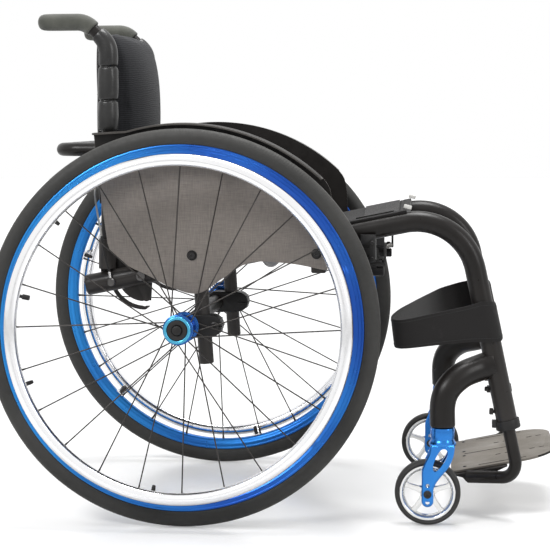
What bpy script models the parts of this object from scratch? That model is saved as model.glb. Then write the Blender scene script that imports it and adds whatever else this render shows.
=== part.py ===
"""Active rigid-frame wheelchair: two bent side tubes, cambered quick-release wheels, casters, a back that
folds forward, scissor wheel locks and a telescopic footrest.

Metres, +Z up, +X to the front, the chair's right side at -Y. The places below are measured from the point
under the rear wheel axis; HUB_X then moves the whole model so that its box is centred on the origin.
"""
import math

import bmesh
import bpy
from mathutils import Matrix, Vector

# Fits
SEAT_GAP = 0.0003
RUN_GAP = 0.0005

# Rear wheels
TYRE_RADIUS = 0.2965
TYRE_WIDTH = 0.025
TYRE_DEPTH = 0.0262
TYRE_BASE_RADIUS = TYRE_RADIUS - TYRE_DEPTH
TREAD_HALF = 0.0045
CAMBER = math.radians(2.33)
TRACK_HALF = 0.231
RIM_BED_RADIUS = TYRE_BASE_RADIUS - SEAT_GAP
RIM_WIDTH = 0.020
RIM_DEPTH = 0.0145
RIM_FLANGE_HEIGHT = 0.003
RIM_FLANGE_WALL = 0.002
HANDRIM_INSET = 0.0207
HANDRIM_RADIUS = RIM_BED_RADIUS - HANDRIM_INSET
HANDRIM_TUBE = 0.0095
HANDRIM_OFFSET = 0.0405
TAB_WIDTH = 0.014
TAB_WALL = 0.0022
TAB_COUNT = 6
TAB_FIRST_ANGLE = math.radians(-97.5)
SPOKES_PER_FLANGE = 12
SPOKE_RADIUS = 0.0010
SPOKE_SWEEP = math.radians(30.0)
NIPPLE_RADIUS = 0.0021
NIPPLE_LENGTH = 0.013
HUB_HALF_LENGTH = 0.041
HUB_FLANGE_RADIUS = 0.0228
HUB_FLANGE_PLACE = 0.028
HUB_FLANGE_WALL = 0.005
HUB_BODY_RADIUS = 0.0165
HUB_END_RADIUS = 0.0206
HUB_BORE_RADIUS = 0.0120
BEARING_WIDTH = 0.008
AXLE_RADIUS = 0.0063
AXLE_REACH = 0.086
AXLE_HEAD_RADIUS = 0.0130
AXLE_HEAD_DEPTH = 0.006
BUTTON_RADIUS = 0.0070
BUTTON_TRAVEL = 0.004
WHEEL_STEPS = 48
HANDRIM_STEPS = 36

# Main frame: one bent tube on each side, seat run and leg in one
FRAME_HALF = 0.165
FRAME_TUBE = 0.0158
SEAT_REAR = (-0.152, 0.3545)
SEAT_CORNER = (0.417, 0.468)
SEAT_BEND_RADIUS = 0.090
LEG_LEAN = -0.2129
LEG_END_HEIGHT = 0.142
LEG_BORE_DEPTH = 0.150
CROSS_TUBE_PLACE = 0.120
CROSS_TUBE_RADIUS = 0.0125
CROSS_TUBE_DROP = 0.0240
CROSS_TUBE_BEND = 0.045

# Rear axle group
CAMBER_TUBE_RADIUS = 0.0125
CAMBER_TUBE_HALF = 0.1865
POST_HALF = 0.170
POST_TUBE = 0.0113
POST_FOOT = (0.0293, 0.2375)
POST_HEAD = (0.0205, 0.3750)
CLAMP_HALF_WIDTH = 0.0155
CLAMP_REAR_RADIUS = 0.0180
CLAMP_FRONT_RADIUS = 0.0165
CLAMP_FRONT_PLACE = (0.0385, 0.2945)
CLAMP_BOLT_RADIUS = 0.0060

# Casters
CASTER_HALF = 0.200
SWIVEL_X = 0.388
CASTER_RADIUS = 0.0492
CASTER_TYRE_DEPTH = 0.0072
CASTER_TYRE_WIDTH = 0.023
CASTER_TRAIL = 0.022
CASTER_RIM_WALL = 0.0050
CASTER_RIM_WIDTH = 0.019
CASTER_HUB_RADIUS = 0.0105
CASTER_HUB_WIDTH = 0.026
CASTER_SPOKES = 5
CASTER_STEPS = 24
CASTER_AXLE_RADIUS = 0.0040
HOUSING_RADIUS = 0.0188
HOUSING_FOOT = 0.149
ARM_ROOT_HEIGHT = 0.240
ARM_ROOT_RADIUS = 0.0205
HOUSING_BORE_RADIUS = 0.0120
HOUSING_BORE_DEPTH = 0.042
STEM_RADIUS = 0.0050
CROWN_RADIUS = 0.0180
CROWN_FOOT = 0.131
CROWN_FLANGE = 0.121
FORK_GAP = 0.0285
FORK_WALL = 0.0055
FORK_TOE = 0.0385
FORK_TOE_RADIUS = 0.0088

# Footrest
FOOT_TUBE = 0.0095
FOOT_TUBE_TOP = 0.240
FOOT_TUBE_LOW = 0.0655
FOOT_BEND_RADIUS = 0.0255
FOOT_END = (0.4275, 0.126, 0.0573)
COLLAR_RADIUS = 0.0186
COLLAR_HEIGHT = 0.0135
COLLAR_PLACE = 0.1475
PLATE_REAR = (0.4010, 0.0635)
PLATE_TILT = math.radians(11.0)
PLATE_LENGTH = 0.1874
PLATE_HALF = 0.117
PLATE_WALL = 0.004
PLATE_CORNER = 0.055
PLATE_REAR_CORNER = 0.012
PLATE_SCREW_INSET = 0.0217

# Folding back
PIVOT = (-0.069, 0.370)
PIVOT_PIN_RADIUS = 0.0050
QUADRANT_RADIUS = 0.046
QUADRANT_SLOT = 0.0036
QUADRANT_START = math.radians(192.5)
FOLD_STOP = math.radians(76.0)
SECOND_NOTCH = math.radians(87.5)
NOTCH_RADIUS = 0.0044
HINGE_WALL = 0.005
LATCH_RADIUS = 0.0031
LATCH_HEAD_RADIUS = 0.0060
CANE_TUBE = 0.0095
CANE_FOOT = (-0.1235, 0.3800)
CANE_TOP = (-0.1170, 0.7200)
CANE_BACK = (-0.1520, 0.7530)
CANE_END = -0.2150
SOCKET_RADIUS = 0.0130
SOCKET_FOOT = 0.3797
SOCKET_HEAD = 0.4250
GRIP_RADIUS = 0.0128
GRIP_END = -0.2240
GRIP_START = 0.738
SLEEVE_CLEARANCE = 0.028
SLEEVE_HEAD = 0.7345
BAR_TUBE = 0.0100
BAR_HEIGHT = 0.561
SLEEVE_FOOT = BAR_HEIGHT + SLEEVE_CLEARANCE
BAR_BACK = -0.196
BAR_BEND_RADIUS = 0.035

# Upholstery
BACK_HALF = 0.1475
BACK_FOOT = 0.478
BACK_HEAD = 0.728
BACK_FACE = -0.1405
BACK_WALL = 0.010
BACK_BOW = 0.015
CUSHION_HALF = 0.1440
CUSHION_HEAD = 0.742
CUSHION_DEPTH = 0.066
CUSHION_DRAW = 0.035
SLING_REAR = -0.045
SLING_FRONT = 0.333
SLING_WALL = 0.0035
SLING_SAG = 0.018
STRAP_WALL = 0.0035

# Side guards
GUARD_FACE = 0.1868
GUARD_WALL = 0.0020
LIP_CLEARANCE = 0.0080
LIP_RADIUS = TYRE_RADIUS + LIP_CLEARANCE
LIP_WALL = 0.0022
LIP_REACH = 0.0290
GUARD_LUGS = ((0.011, 0.402), (0.199, 0.405))

# Wheel locks
LOCK_PIVOT = (0.2942, 0.178)
LOCK_LINK = 0.021
LOCK_ARM = 0.0155
LOCK_SHOE_RADIUS = 0.0075
LOCK_SHOE_LENGTH = 0.022
LOCK_BLOCK_FOOT = 0.3920
LOCK_SHOE_DROP = 0.0135
LOCK_SHOE_HEIGHT = LOCK_BLOCK_FOOT - LOCK_SHOE_DROP
LOCK_PLATE_RISE = 0.0285
LOCK_KNOB_RISE = 0.0258
LOCK_KNOB_RADIUS = 0.0045
LOCK_BLOCK_LENGTH = 0.022
LOCK_CLEARANCE = 0.0070
LOCK_WALL = 0.0042
LOCK_EYE = 0.0046
LOCK_PIN_RADIUS = 0.0028

# Release cord
CORD_RADIUS = 0.0015

FRONT_REACH = PLATE_REAR[0] + PLATE_LENGTH * math.cos(PLATE_TILT)
HUB_X = (TYRE_RADIUS - FRONT_REACH) / 2
HUB_HEIGHT = TYRE_RADIUS * math.cos(CAMBER) + TREAD_HALF * math.sin(CAMBER)
SEAT_SLOPE = (SEAT_CORNER[1] - SEAT_REAR[1]) / (SEAT_CORNER[0] - SEAT_REAR[0])
SIDES = {"r": -1, "l": 1}


def flat_radius(radius, steps):
    """Corner radius of a ring with this many steps whose flats lie at the given radius."""
    return radius / math.cos(math.pi / steps)


def seat_line(x):
    """Height of the seat run's centre line above the floor."""
    return SEAT_REAR[1] + SEAT_SLOPE * (x - SEAT_REAR[0])


def leg_line(z):
    """Place of the leg's centre line, forward of the rear wheel axis."""
    return SEAT_CORNER[0] + LEG_LEAN * (z - SEAT_CORNER[1])


LEG_DOWN = Vector((-LEG_LEAN, 0, -1)).normalized()


def clear_scene():
    for thing in list(bpy.data.objects):
        bpy.data.objects.remove(thing, do_unlink=True)


def finish_material(name, colour, roughness, metallic=0.0):
    material = bpy.data.materials.new(name)
    material.use_nodes = True
    shader = material.node_tree.nodes["Principled BSDF"]
    shader.inputs["Base Color"].default_value = (*colour, 1.0)
    shader.inputs["Roughness"].default_value = roughness
    shader.inputs["Metallic"].default_value = metallic
    return material


def link(mesh, name="blank"):
    thing = bpy.data.objects.new(name, mesh)
    bpy.context.collection.objects.link(thing)
    return thing


def as_object(bm, name="blank"):
    bm.normal_update()
    bmesh.ops.recalc_face_normals(bm, faces=bm.faces)
    mesh = bpy.data.meshes.new(name)
    bm.to_mesh(mesh)
    bm.free()
    return link(mesh, name)


def applied(thing):
    """Replace an object by the mesh that its modifiers or its curve give."""
    depsgraph = bpy.context.evaluated_depsgraph_get()
    mesh = bpy.data.meshes.new_from_object(thing.evaluated_get(depsgraph))
    mesh.transform(thing.matrix_world)
    bpy.data.objects.remove(thing, do_unlink=True)
    return link(mesh)


def boolean(base, tools, operation):
    for tool in tools:
        cut = base.modifiers.new(operation.lower(), "BOOLEAN")
        cut.operation = operation
        cut.object = tool
    result = applied(base)
    for tool in tools:
        bpy.data.objects.remove(tool, do_unlink=True)
    return result


def union(base, *others):
    return boolean(base, others, "UNION")


def minus(base, *cutters):
    return boolean(base, cutters, "DIFFERENCE")


def box(low, high):
    bm = bmesh.new()
    bmesh.ops.create_cube(bm, size=1.0)
    low, high = Vector(low), Vector(high)
    size = high - low
    bmesh.ops.scale(bm, vec=Vector([abs(v) for v in size]), verts=bm.verts)
    bmesh.ops.translate(bm, vec=(low + high) / 2, verts=bm.verts)
    return as_object(bm)


def rod(start, end, radius, steps=12, end_radius=None):
    """Round bar between two points, tapered if the end has its own radius."""
    start, end = Vector(start), Vector(end)
    along = end - start
    bm = bmesh.new()
    bmesh.ops.create_cone(
        bm, cap_ends=True, segments=steps, radius1=radius, radius2=end_radius or radius, depth=along.length
    )
    turn = along.to_track_quat("Z", "Y").to_matrix().to_4x4()
    bm.transform(Matrix.Translation((start + end) / 2) @ turn)
    return as_object(bm)


def turned(profile, steps, closed=True, phase=0.0):
    """Ring or shaft about the Z axis from (radius, height) points; a closed profile leaves a bore."""
    bm = bmesh.new()
    verts = [bm.verts.new((r, 0, z)) for r, z in profile]
    for a, b in zip(verts, verts[1:] + (verts[:1] if closed else [])):
        bm.edges.new((a, b))
    bmesh.ops.rotate(bm, cent=(0, 0, 0), matrix=Matrix.Rotation(phase, 3, "Z"), verts=bm.verts)
    bmesh.ops.spin(
        bm, geom=bm.verts[:] + bm.edges[:], cent=(0, 0, 0), axis=(0, 0, 1), angle=math.tau, steps=steps,
        use_merge=False, use_duplicate=False
    )
    bmesh.ops.remove_doubles(bm, verts=bm.verts, dist=1e-6)
    return as_object(bm)


def placed(thing, origin, axis, roll=0.0):
    """Move a piece made about +Z so that its axis runs through the origin point along the axis given."""
    turn = Vector(axis).to_track_quat("Z", "Y").to_matrix().to_4x4()
    thing.data.transform(Matrix.Translation(Vector(origin)) @ turn @ Matrix.Rotation(roll, 4, "Z"))
    return thing


def slab(outline, low, high, flip=1):
    """Sheet with an outline in X and Z, between two distances from the middle plane, on the side of flip."""
    bm = bmesh.new()
    face = bm.faces.new([bm.verts.new((x, flip * low, z)) for x, z in outline])
    grown = bmesh.ops.extrude_face_region(bm, geom=[face])
    moved = [v for v in grown["geom"] if isinstance(v, bmesh.types.BMVert)]
    bmesh.ops.translate(bm, vec=(0, flip * (high - low), 0), verts=moved)
    return as_object(bm)


def rounded_path(corners, radii, steps=5):
    """Corner points with each inner corner replaced by an arc of its own radius."""
    points = [Vector(corners[0])]
    for before, corner, after, radius in zip(corners, corners[1:], corners[2:], radii):
        before, corner, after = Vector(before), Vector(corner), Vector(after)
        inward = (before - corner).normalized()
        onward = (after - corner).normalized()
        half = inward.angle(onward) / 2
        centre = corner + (inward + onward).normalized() * (radius / math.sin(half))
        first = corner + inward * (radius / math.tan(half)) - centre
        last = corner + onward * (radius / math.tan(half)) - centre
        for k in range(steps + 1):
            points.append(centre + first.slerp(last, k / steps).normalized() * radius)
    points.append(Vector(corners[-1]))
    return points


def smooth_path(knots, per_span=4, closed=False):
    """Points on a smooth curve through all the knots."""
    knots = [Vector(k) for k in knots]
    count = len(knots)
    points = []
    for i in range(count if closed else count - 1):
        if closed:
            p0, p1, p2, p3 = (knots[(i + k) % count] for k in (-1, 0, 1, 2))
        else:
            p1, p2 = knots[i], knots[i + 1]
            p0 = knots[i - 1] if i else p1 * 2 - p2
            p3 = knots[i + 2] if i + 2 < count else p2 * 2 - p1
        for k in range(per_span):
            t = k / per_span
            points.append(
                0.5 * (2 * p1 + (p2 - p0) * t + (2 * p0 - 5 * p1 + 4 * p2 - p3) * t * t
                       + (3 * p1 - p0 - 3 * p2 + p3) * t * t * t)
            )
    if not closed:
        points.append(knots[-1])
    return points


def tube(points, radius, resolution=4, scales=None):
    """Solid round tube along points, made as a bevelled curve with filled ends."""
    curve = bpy.data.curves.new("tube", "CURVE")
    curve.dimensions = "3D"
    curve.bevel_depth = radius
    curve.bevel_resolution = resolution
    curve.use_fill_caps = True
    spline = curve.splines.new("POLY")
    spline.points.add(len(points) - 1)
    for i, point in enumerate(points):
        spline.points[i].co = (*point, 1)
        spline.points[i].radius = scales[i] if scales else 1.0
    swept = applied(link(curve))
    bm = bmesh.new()
    bm.from_mesh(swept.data)
    bpy.data.objects.remove(swept, do_unlink=True)
    bmesh.ops.remove_doubles(bm, verts=bm.verts, dist=1e-6)
    return as_object(bm)


def mirror_y(thing):
    """The same piece for the other side."""
    thing.data.transform(Matrix.Diagonal((1, -1, 1, 1)))
    thing.data.flip_normals()
    return thing


def twin(thing):
    """A copy of a right-hand piece, mirrored to the left."""
    return mirror_y(link(thing.data.copy()))


def node(thing, name, material, pivot=(0, 0, 0), smooth=40.0):
    """Name a finished piece, set its origin on its pivot and move it from the wheel axis to the model frame."""
    thing.name = name
    thing.data.name = name
    pivot = Vector(pivot)
    thing.data.transform(Matrix.Translation(-pivot))
    thing.location = pivot + Vector((HUB_X, 0, 0))
    thing.data.materials.clear()
    thing.data.materials.append(material)
    thing.data.shade_smooth()
    thing.data.set_sharp_from_angle(angle=math.radians(smooth))
    return thing


def wheel_axis(side):
    """Centre of a rear wheel and its axle direction, pointing outward."""
    centre = Vector((0, side * TRACK_HALF, HUB_HEIGHT))
    outward = Vector((0, side * math.cos(CAMBER), math.sin(CAMBER)))
    return centre, outward


def wheel_frame(side):
    """Matrix from a wheel's own frame, +Z outward and +Y up in the wheel's plane, to the chair."""
    centre, outward = wheel_axis(side)
    up = (Vector((0, 0, 1)) - outward * outward.z).normalized()
    across = up.cross(outward)
    turn = Matrix((across, up, outward)).transposed().to_4x4()
    return Matrix.Translation(centre) @ turn


def ring_angle(steps):
    """Turn that brings the middle of a flat to the bottom of a ring."""
    return -math.pi / 2 + math.pi / steps


def tyre_shape():
    half = TYRE_WIDTH / 2
    side = [(TYRE_BASE_RADIUS, half * 0.48), (TYRE_RADIUS - half, half), (TYRE_RADIUS, TREAD_HALF)]
    profile = side + [(r, -w) for r, w in reversed(side)]
    ring = [(flat_radius(r, WHEEL_STEPS), w) for r, w in profile]
    return turned(ring, WHEEL_STEPS, phase=ring_angle(WHEEL_STEPS))


def rim_shape():
    """Rim with its spokes, which end at the hub's flanges."""
    half = RIM_WIDTH / 2
    flange = RIM_BED_RADIUS + RIM_FLANGE_HEIGHT
    inner = RIM_BED_RADIUS - RIM_DEPTH
    side = [(flange, half), (RIM_BED_RADIUS, half - RIM_FLANGE_WALL)]
    profile = side + [(r, -w) for r, w in reversed(side)]
    profile += [(inner, -half * 0.5), (inner, half * 0.5)]
    ring = [(flat_radius(r, WHEEL_STEPS), w) for r, w in profile]
    return union(turned(ring, WHEEL_STEPS, phase=ring_angle(WHEEL_STEPS)), *spoke_shapes())


def rim_inner():
    return RIM_BED_RADIUS - RIM_DEPTH


def handrim_shape():
    """Push ring with six welded tabs that run under the rim's inner face."""
    circle = []
    for k in range(8):
        angle = math.tau * (k + 0.5) / 8
        circle.append((HANDRIM_RADIUS + HANDRIM_TUBE * math.cos(angle), HANDRIM_TUBE * math.sin(angle)))
    ring = [(flat_radius(r, HANDRIM_STEPS), HANDRIM_OFFSET + w) for r, w in circle]
    body = turned(ring, HANDRIM_STEPS, phase=ring_angle(HANDRIM_STEPS))
    tabs = []
    outer = rim_inner() - SEAT_GAP
    for k in range(TAB_COUNT):
        tab = box((outer - TAB_WALL, -TAB_WIDTH / 2, -RIM_WIDTH * 0.3), (outer, TAB_WIDTH / 2, HANDRIM_OFFSET - 0.003))
        angle = TAB_FIRST_ANGLE + math.tau * k / TAB_COUNT
        tab.data.transform(Matrix.Rotation(angle, 4, "Z"))
        tabs.append(tab)
    return union(body, *tabs)


def spoke_run(flange_place, hub_angle, rim_angle, shift):
    """Start at the hub flange's edge and end inside the rim of one spoke, in the wheel's frame."""
    start = HUB_FLANGE_RADIUS + SEAT_GAP + SPOKE_RADIUS * math.sin(SPOKE_SWEEP) * 1.2
    reach = rim_inner() + NIPPLE_RADIUS
    inner = Vector((start * math.cos(hub_angle), start * math.sin(hub_angle), flange_place + shift))
    return inner, Vector((reach * math.cos(rim_angle), reach * math.sin(rim_angle), shift))


def spoke_shape(start, end):
    """One spoke with its nipple, four-sided, from the hub flange into the rim."""
    along = (end - start).normalized()
    neck = end - along * NIPPLE_LENGTH
    stations = [(start, SPOKE_RADIUS), (neck, SPOKE_RADIUS), (end, NIPPLE_RADIUS)]
    across = along.orthogonal().normalized()
    other = along.cross(across)
    bm = bmesh.new()
    rings = []
    for place, radius in stations:
        corners = [across, other, -across, -other]
        rings.append([bm.verts.new(place + c * radius) for c in corners])
    for low, high in zip(rings, rings[1:]):
        for k in range(4):
            bm.faces.new((low[k], low[(k + 1) % 4], high[(k + 1) % 4], high[k]))
    bm.faces.new(rings[0])
    bm.faces.new(rings[-1])
    return as_object(bm)


def spoke_shapes():
    """All spokes of a wheel, crossing their neighbours of the same flange in pairs."""
    spokes = []
    gap = SPOKE_RADIUS + SEAT_GAP
    for flange, phase in ((HUB_FLANGE_PLACE, 0.0), (-HUB_FLANGE_PLACE, math.pi / SPOKES_PER_FLANGE)):
        for k in range(SPOKES_PER_FLANGE):
            turn = 1 if k % 2 else -1
            hub_angle = phase + math.tau * k / SPOKES_PER_FLANGE
            spokes.append(spoke_shape(*spoke_run(flange, hub_angle, hub_angle + turn * SPOKE_SWEEP, turn * gap)))
    return spokes


def hub_shape():
    """Hub: two flanges, waisted body, outer end ring, bearing lands and stepped bore."""
    end = HUB_HALF_LENGTH
    wall = HUB_FLANGE_WALL / 2
    place = HUB_FLANGE_PLACE
    counterbore = flat_radius(AXLE_HEAD_RADIUS + SEAT_GAP, 16)
    land = flat_radius(AXLE_RADIUS + SEAT_GAP, 16)
    face = end - AXLE_HEAD_DEPTH
    profile = [
        (land, -end + BEARING_WIDTH), (land, -end), (HUB_BODY_RADIUS, -end), (HUB_BODY_RADIUS, -place - wall),
        (HUB_FLANGE_RADIUS, -place - wall), (HUB_FLANGE_RADIUS, -place + wall), (HUB_BODY_RADIUS, -place + wall),
        (HUB_BODY_RADIUS, place - wall), (HUB_FLANGE_RADIUS, place - wall), (HUB_FLANGE_RADIUS, place + wall),
        (HUB_END_RADIUS, place + wall + 0.001), (HUB_END_RADIUS, end), (counterbore, end),
        (counterbore, face), (land, face), (land, face - BEARING_WIDTH), (HUB_BORE_RADIUS, face - BEARING_WIDTH),
        (HUB_BORE_RADIUS, -end + BEARING_WIDTH),
    ]
    return turned(profile, 16)


def axle_shape():
    """Quick-release axle: head in the hub's counterbore, shaft through to the camber tube, bore for the button."""
    head_low = HUB_HALF_LENGTH - AXLE_HEAD_DEPTH + SEAT_GAP
    head_high = HUB_HALF_LENGTH - 0.0005
    profile = [
        (0, -AXLE_REACH), (AXLE_RADIUS * 0.8, -AXLE_REACH), (AXLE_RADIUS, -AXLE_REACH + 0.003), (AXLE_RADIUS, head_low),
        (AXLE_HEAD_RADIUS, head_low), (AXLE_HEAD_RADIUS, head_high), (BUTTON_RADIUS + SEAT_GAP * 2, head_high),
        (BUTTON_RADIUS + SEAT_GAP * 2, head_high - 0.0047), (AXLE_RADIUS * 0.45, head_high - 0.0047),
        (AXLE_RADIUS * 0.45, -0.02), (0, -0.02),
    ]
    return turned(profile, 12, closed=False)


def button_shape():
    face = HUB_HALF_LENGTH + 0.0035
    foot = HUB_HALF_LENGTH - 0.0005 - 0.0047 + BUTTON_TRAVEL + 0.0002
    pin = AXLE_RADIUS * 0.45 - SEAT_GAP
    profile = [
        (0, 0), (pin, 0), (pin, foot), (BUTTON_RADIUS, foot), (BUTTON_RADIUS, face - 0.001),
        (BUTTON_RADIUS - 0.0012, face), (0, face),
    ]
    return turned(profile, 12, closed=False)


def build_wheels(look):
    for key, side in SIDES.items():
        place = wheel_frame(side)
        pivot = wheel_axis(side)[0]
        pieces = {
            "tyre": (tyre_shape(), look["tyre"], 50),
            "rim": (rim_shape(), look["blue"], 30),
            "hub": (hub_shape(), look["blue"], 30),
            "handrim": (handrim_shape(), look["polished"], 50),
            "quick_axle": (axle_shape(), look["steel"], 30),
            "axle_button": (button_shape(), look["plastic"], 30),
        }
        for name, (thing, material, smooth) in pieces.items():
            thing.data.transform(place)
            node(thing, f"{name}_{key}", material, pivot, smooth)


def frame_path(side):
    corner = (SEAT_CORNER[0], side * FRAME_HALF, SEAT_CORNER[1])
    rear = (SEAT_REAR[0], side * FRAME_HALF, SEAT_REAR[1])
    foot = (leg_line(LEG_END_HEIGHT), side * FRAME_HALF, LEG_END_HEIGHT)
    return [rear, corner, foot]


def across(x, z, low, high, radius, steps=12):
    """Bar along Y on the right side, between two distances from the middle plane."""
    return rod((x, -low, z), (x, -high, z), radius, steps)


def side_tube_shape():
    """Seat run and leg bent from one tube, with guard lugs, hinge and latch holes and the leg's bore."""
    body = tube(rounded_path(frame_path(-1), [SEAT_BEND_RADIUS], 7), FRAME_TUBE)
    lugs = []
    for x, z in GUARD_LUGS:
        low = min(z - 0.008, seat_line(x) + 0.004)
        high = max(z + 0.008, seat_line(x) - 0.004)
        lugs.append(box((x - 0.009, -FRAME_HALF - 0.011, low), (x + 0.009, -GUARD_FACE + SEAT_GAP, high)))
    body = union(body, *lugs)
    foot = Vector((leg_line(LEG_END_HEIGHT), -FRAME_HALF, LEG_END_HEIGHT))
    latch = latch_place()
    cutters = [
        rod(foot + LEG_DOWN * 0.01, foot - LEG_DOWN * LEG_BORE_DEPTH, FOOT_TUBE + RUN_GAP, 12),
        across(*PIVOT, FRAME_HALF - 0.03, FRAME_HALF + 0.03, PIVOT_PIN_RADIUS + SEAT_GAP),
        across(*latch, FRAME_HALF - 0.03, FRAME_HALF + 0.03, LATCH_RADIUS + SEAT_GAP, 8),
    ]
    return minus(body, *cutters)


def latch_place():
    return (
        PIVOT[0] + QUADRANT_RADIUS * math.cos(QUADRANT_START),
        PIVOT[1] + QUADRANT_RADIUS * math.sin(QUADRANT_START),
    )


def collar_shape():
    """Clamp collar round the foot of the leg, closing on the footrest tube below it."""
    centre = Vector((leg_line(COLLAR_PLACE), -FRAME_HALF, COLLAR_PLACE))
    half = COLLAR_HEIGHT / 2
    leg_bore = FRAME_TUBE + SEAT_GAP
    tube_bore = flat_radius(FOOT_TUBE + RUN_GAP, 16)
    foot = Vector((leg_line(LEG_END_HEIGHT), -FRAME_HALF, LEG_END_HEIGHT))
    step = (foot - centre).dot(LEG_DOWN) + SEAT_GAP
    profile = [
        (leg_bore, -half), (COLLAR_RADIUS - 0.001, -half), (COLLAR_RADIUS, -half + 0.002), (COLLAR_RADIUS, half - 0.002),
        (COLLAR_RADIUS - 0.003, half + 0.001), (tube_bore, half + 0.001), (tube_bore, step), (leg_bore, step),
    ]
    return placed(turned(profile, 16), centre, LEG_DOWN)


def post_run():
    return Vector((*POST_FOOT[:1], -POST_HALF, POST_FOOT[1])), Vector((POST_HEAD[0], -POST_HALF, POST_HEAD[1]))


def post_shape():
    """Axle post below the seat run, coped to the tube above it."""
    foot, head = post_run()
    upward = (head - foot).normalized()
    body = rod(foot, head + upward * 0.02, POST_TUBE, 12)
    rear = Vector((SEAT_REAR[0], -FRAME_HALF, SEAT_REAR[1]))
    front = Vector((SEAT_CORNER[0], -FRAME_HALF, SEAT_CORNER[1]))
    cope = rod(rear, front, flat_radius(FRAME_TUBE + SEAT_GAP, 24), 24)
    top = box((-0.1, -FRAME_HALF - 0.1, seat_line(POST_HEAD[0])), (0.2, 0, 0.5))
    return minus(body, cope, top)


def axle_line(y):
    """Height of the cambered axle's centre line at a distance from the middle plane."""
    return HUB_HEIGHT - (TRACK_HALF - y) * math.tan(CAMBER)


def clamp_shape():
    """Clamp block that joins the camber tube to the axle post, with its pinch bolt in front."""
    height = axle_line(POST_HALF)
    front = Vector((CLAMP_FRONT_PLACE[0], 0, CLAMP_FRONT_PLACE[1]))
    rear = Vector((0, 0, height))
    outline = []
    for centre, radius, start in ((front, CLAMP_FRONT_RADIUS, -90), (rear, CLAMP_REAR_RADIUS, 90)):
        for k in range(7):
            angle = math.radians(start + k * 30)
            outline.append((centre.x + radius * math.cos(angle), centre.z + radius * math.sin(angle)))
    low, high = POST_HALF - CLAMP_HALF_WIDTH, POST_HALF + CLAMP_HALF_WIDTH
    block = slab(outline, low, high, -1)
    foot, head = post_run()
    bolt_x = front.x + 0.0055
    block = minus(
        block,
        rod(foot, head, flat_radius(POST_TUBE + SEAT_GAP, 12), 12),
        across(0, height, low - 0.01, high + 0.01, flat_radius(CAMBER_TUBE_RADIUS + SEAT_GAP, 12)),
    )
    bolt = across(bolt_x, front.z, high - 0.005, high + 0.0015, CLAMP_BOLT_RADIUS, 10)
    return union(block, bolt)


def camber_tube_shape():
    """Tube between the two posts with an angled blind bore at each end for the axles."""
    height = axle_line(POST_HALF)
    body = rod((0, -CAMBER_TUBE_HALF, height), (0, CAMBER_TUBE_HALF, height), CAMBER_TUBE_RADIUS, 12)
    cutters = []
    for side in SIDES.values():
        centre, outward = wheel_axis(side)
        mouth = centre - outward * (TRACK_HALF - CAMBER_TUBE_HALF - 0.01)
        end = centre - outward * (AXLE_REACH + 0.002)
        cutters.append(rod(mouth, end, flat_radius(AXLE_RADIUS + RUN_GAP, 12), 12))
    return minus(body, *cutters)


def caster_arm_shape():
    """Arm that leaves the leg rearward, swings outboard and drops into the upright caster housing."""
    root = Vector((leg_line(ARM_ROOT_HEIGHT), -FRAME_HALF, ARM_ROOT_HEIGHT))
    knots = [
        root, (0.4430, -0.1700, 0.2330), (0.4170, -0.1860, 0.2240), (0.3965, -0.1970, 0.2060),
        (SWIVEL_X, -CASTER_HALF, 0.1830), (SWIVEL_X, -CASTER_HALF, HOUSING_FOOT),
    ]
    points = smooth_path(knots, 2)
    count = len(points) - 1
    scales = [1 + (ARM_ROOT_RADIUS / HOUSING_RADIUS - 1) * (1 - i / count) for i in range(count + 1)]
    body = tube(points, HOUSING_RADIUS, 4, scales)
    centre = Vector((leg_line(0.4), -FRAME_HALF, 0.4))
    leg = rod(centre, centre + LEG_DOWN * 0.3, flat_radius(FRAME_TUBE + SEAT_GAP, 24), 24)
    front = box((leg_line(ARM_ROOT_HEIGHT), -0.3, 0.1), (0.6, 0, 0.3))
    turn = Matrix.Translation(root) @ Matrix.Rotation(math.atan(LEG_LEAN), 4, "Y") @ Matrix.Translation(-root)
    front.data.transform(turn)
    land = flat_radius(STEM_RADIUS + SEAT_GAP, 16)
    low, high = HOUSING_FOOT, HOUSING_FOOT + HOUSING_BORE_DEPTH
    bore = turned([
        (0, low - 0.01), (land, low - 0.01), (land, low + BEARING_WIDTH), (HOUSING_BORE_RADIUS, low + BEARING_WIDTH),
        (HOUSING_BORE_RADIUS, high - BEARING_WIDTH), (land, high - BEARING_WIDTH), (land, high), (0, high),
    ], 16, closed=False)
    bore.data.transform(Matrix.Translation((SWIVEL_X, -CASTER_HALF, 0)))
    return minus(body, leg, front, bore)


def caster_centre():
    return Vector((SWIVEL_X - CASTER_TRAIL, -CASTER_HALF, CASTER_RADIUS))


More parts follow.
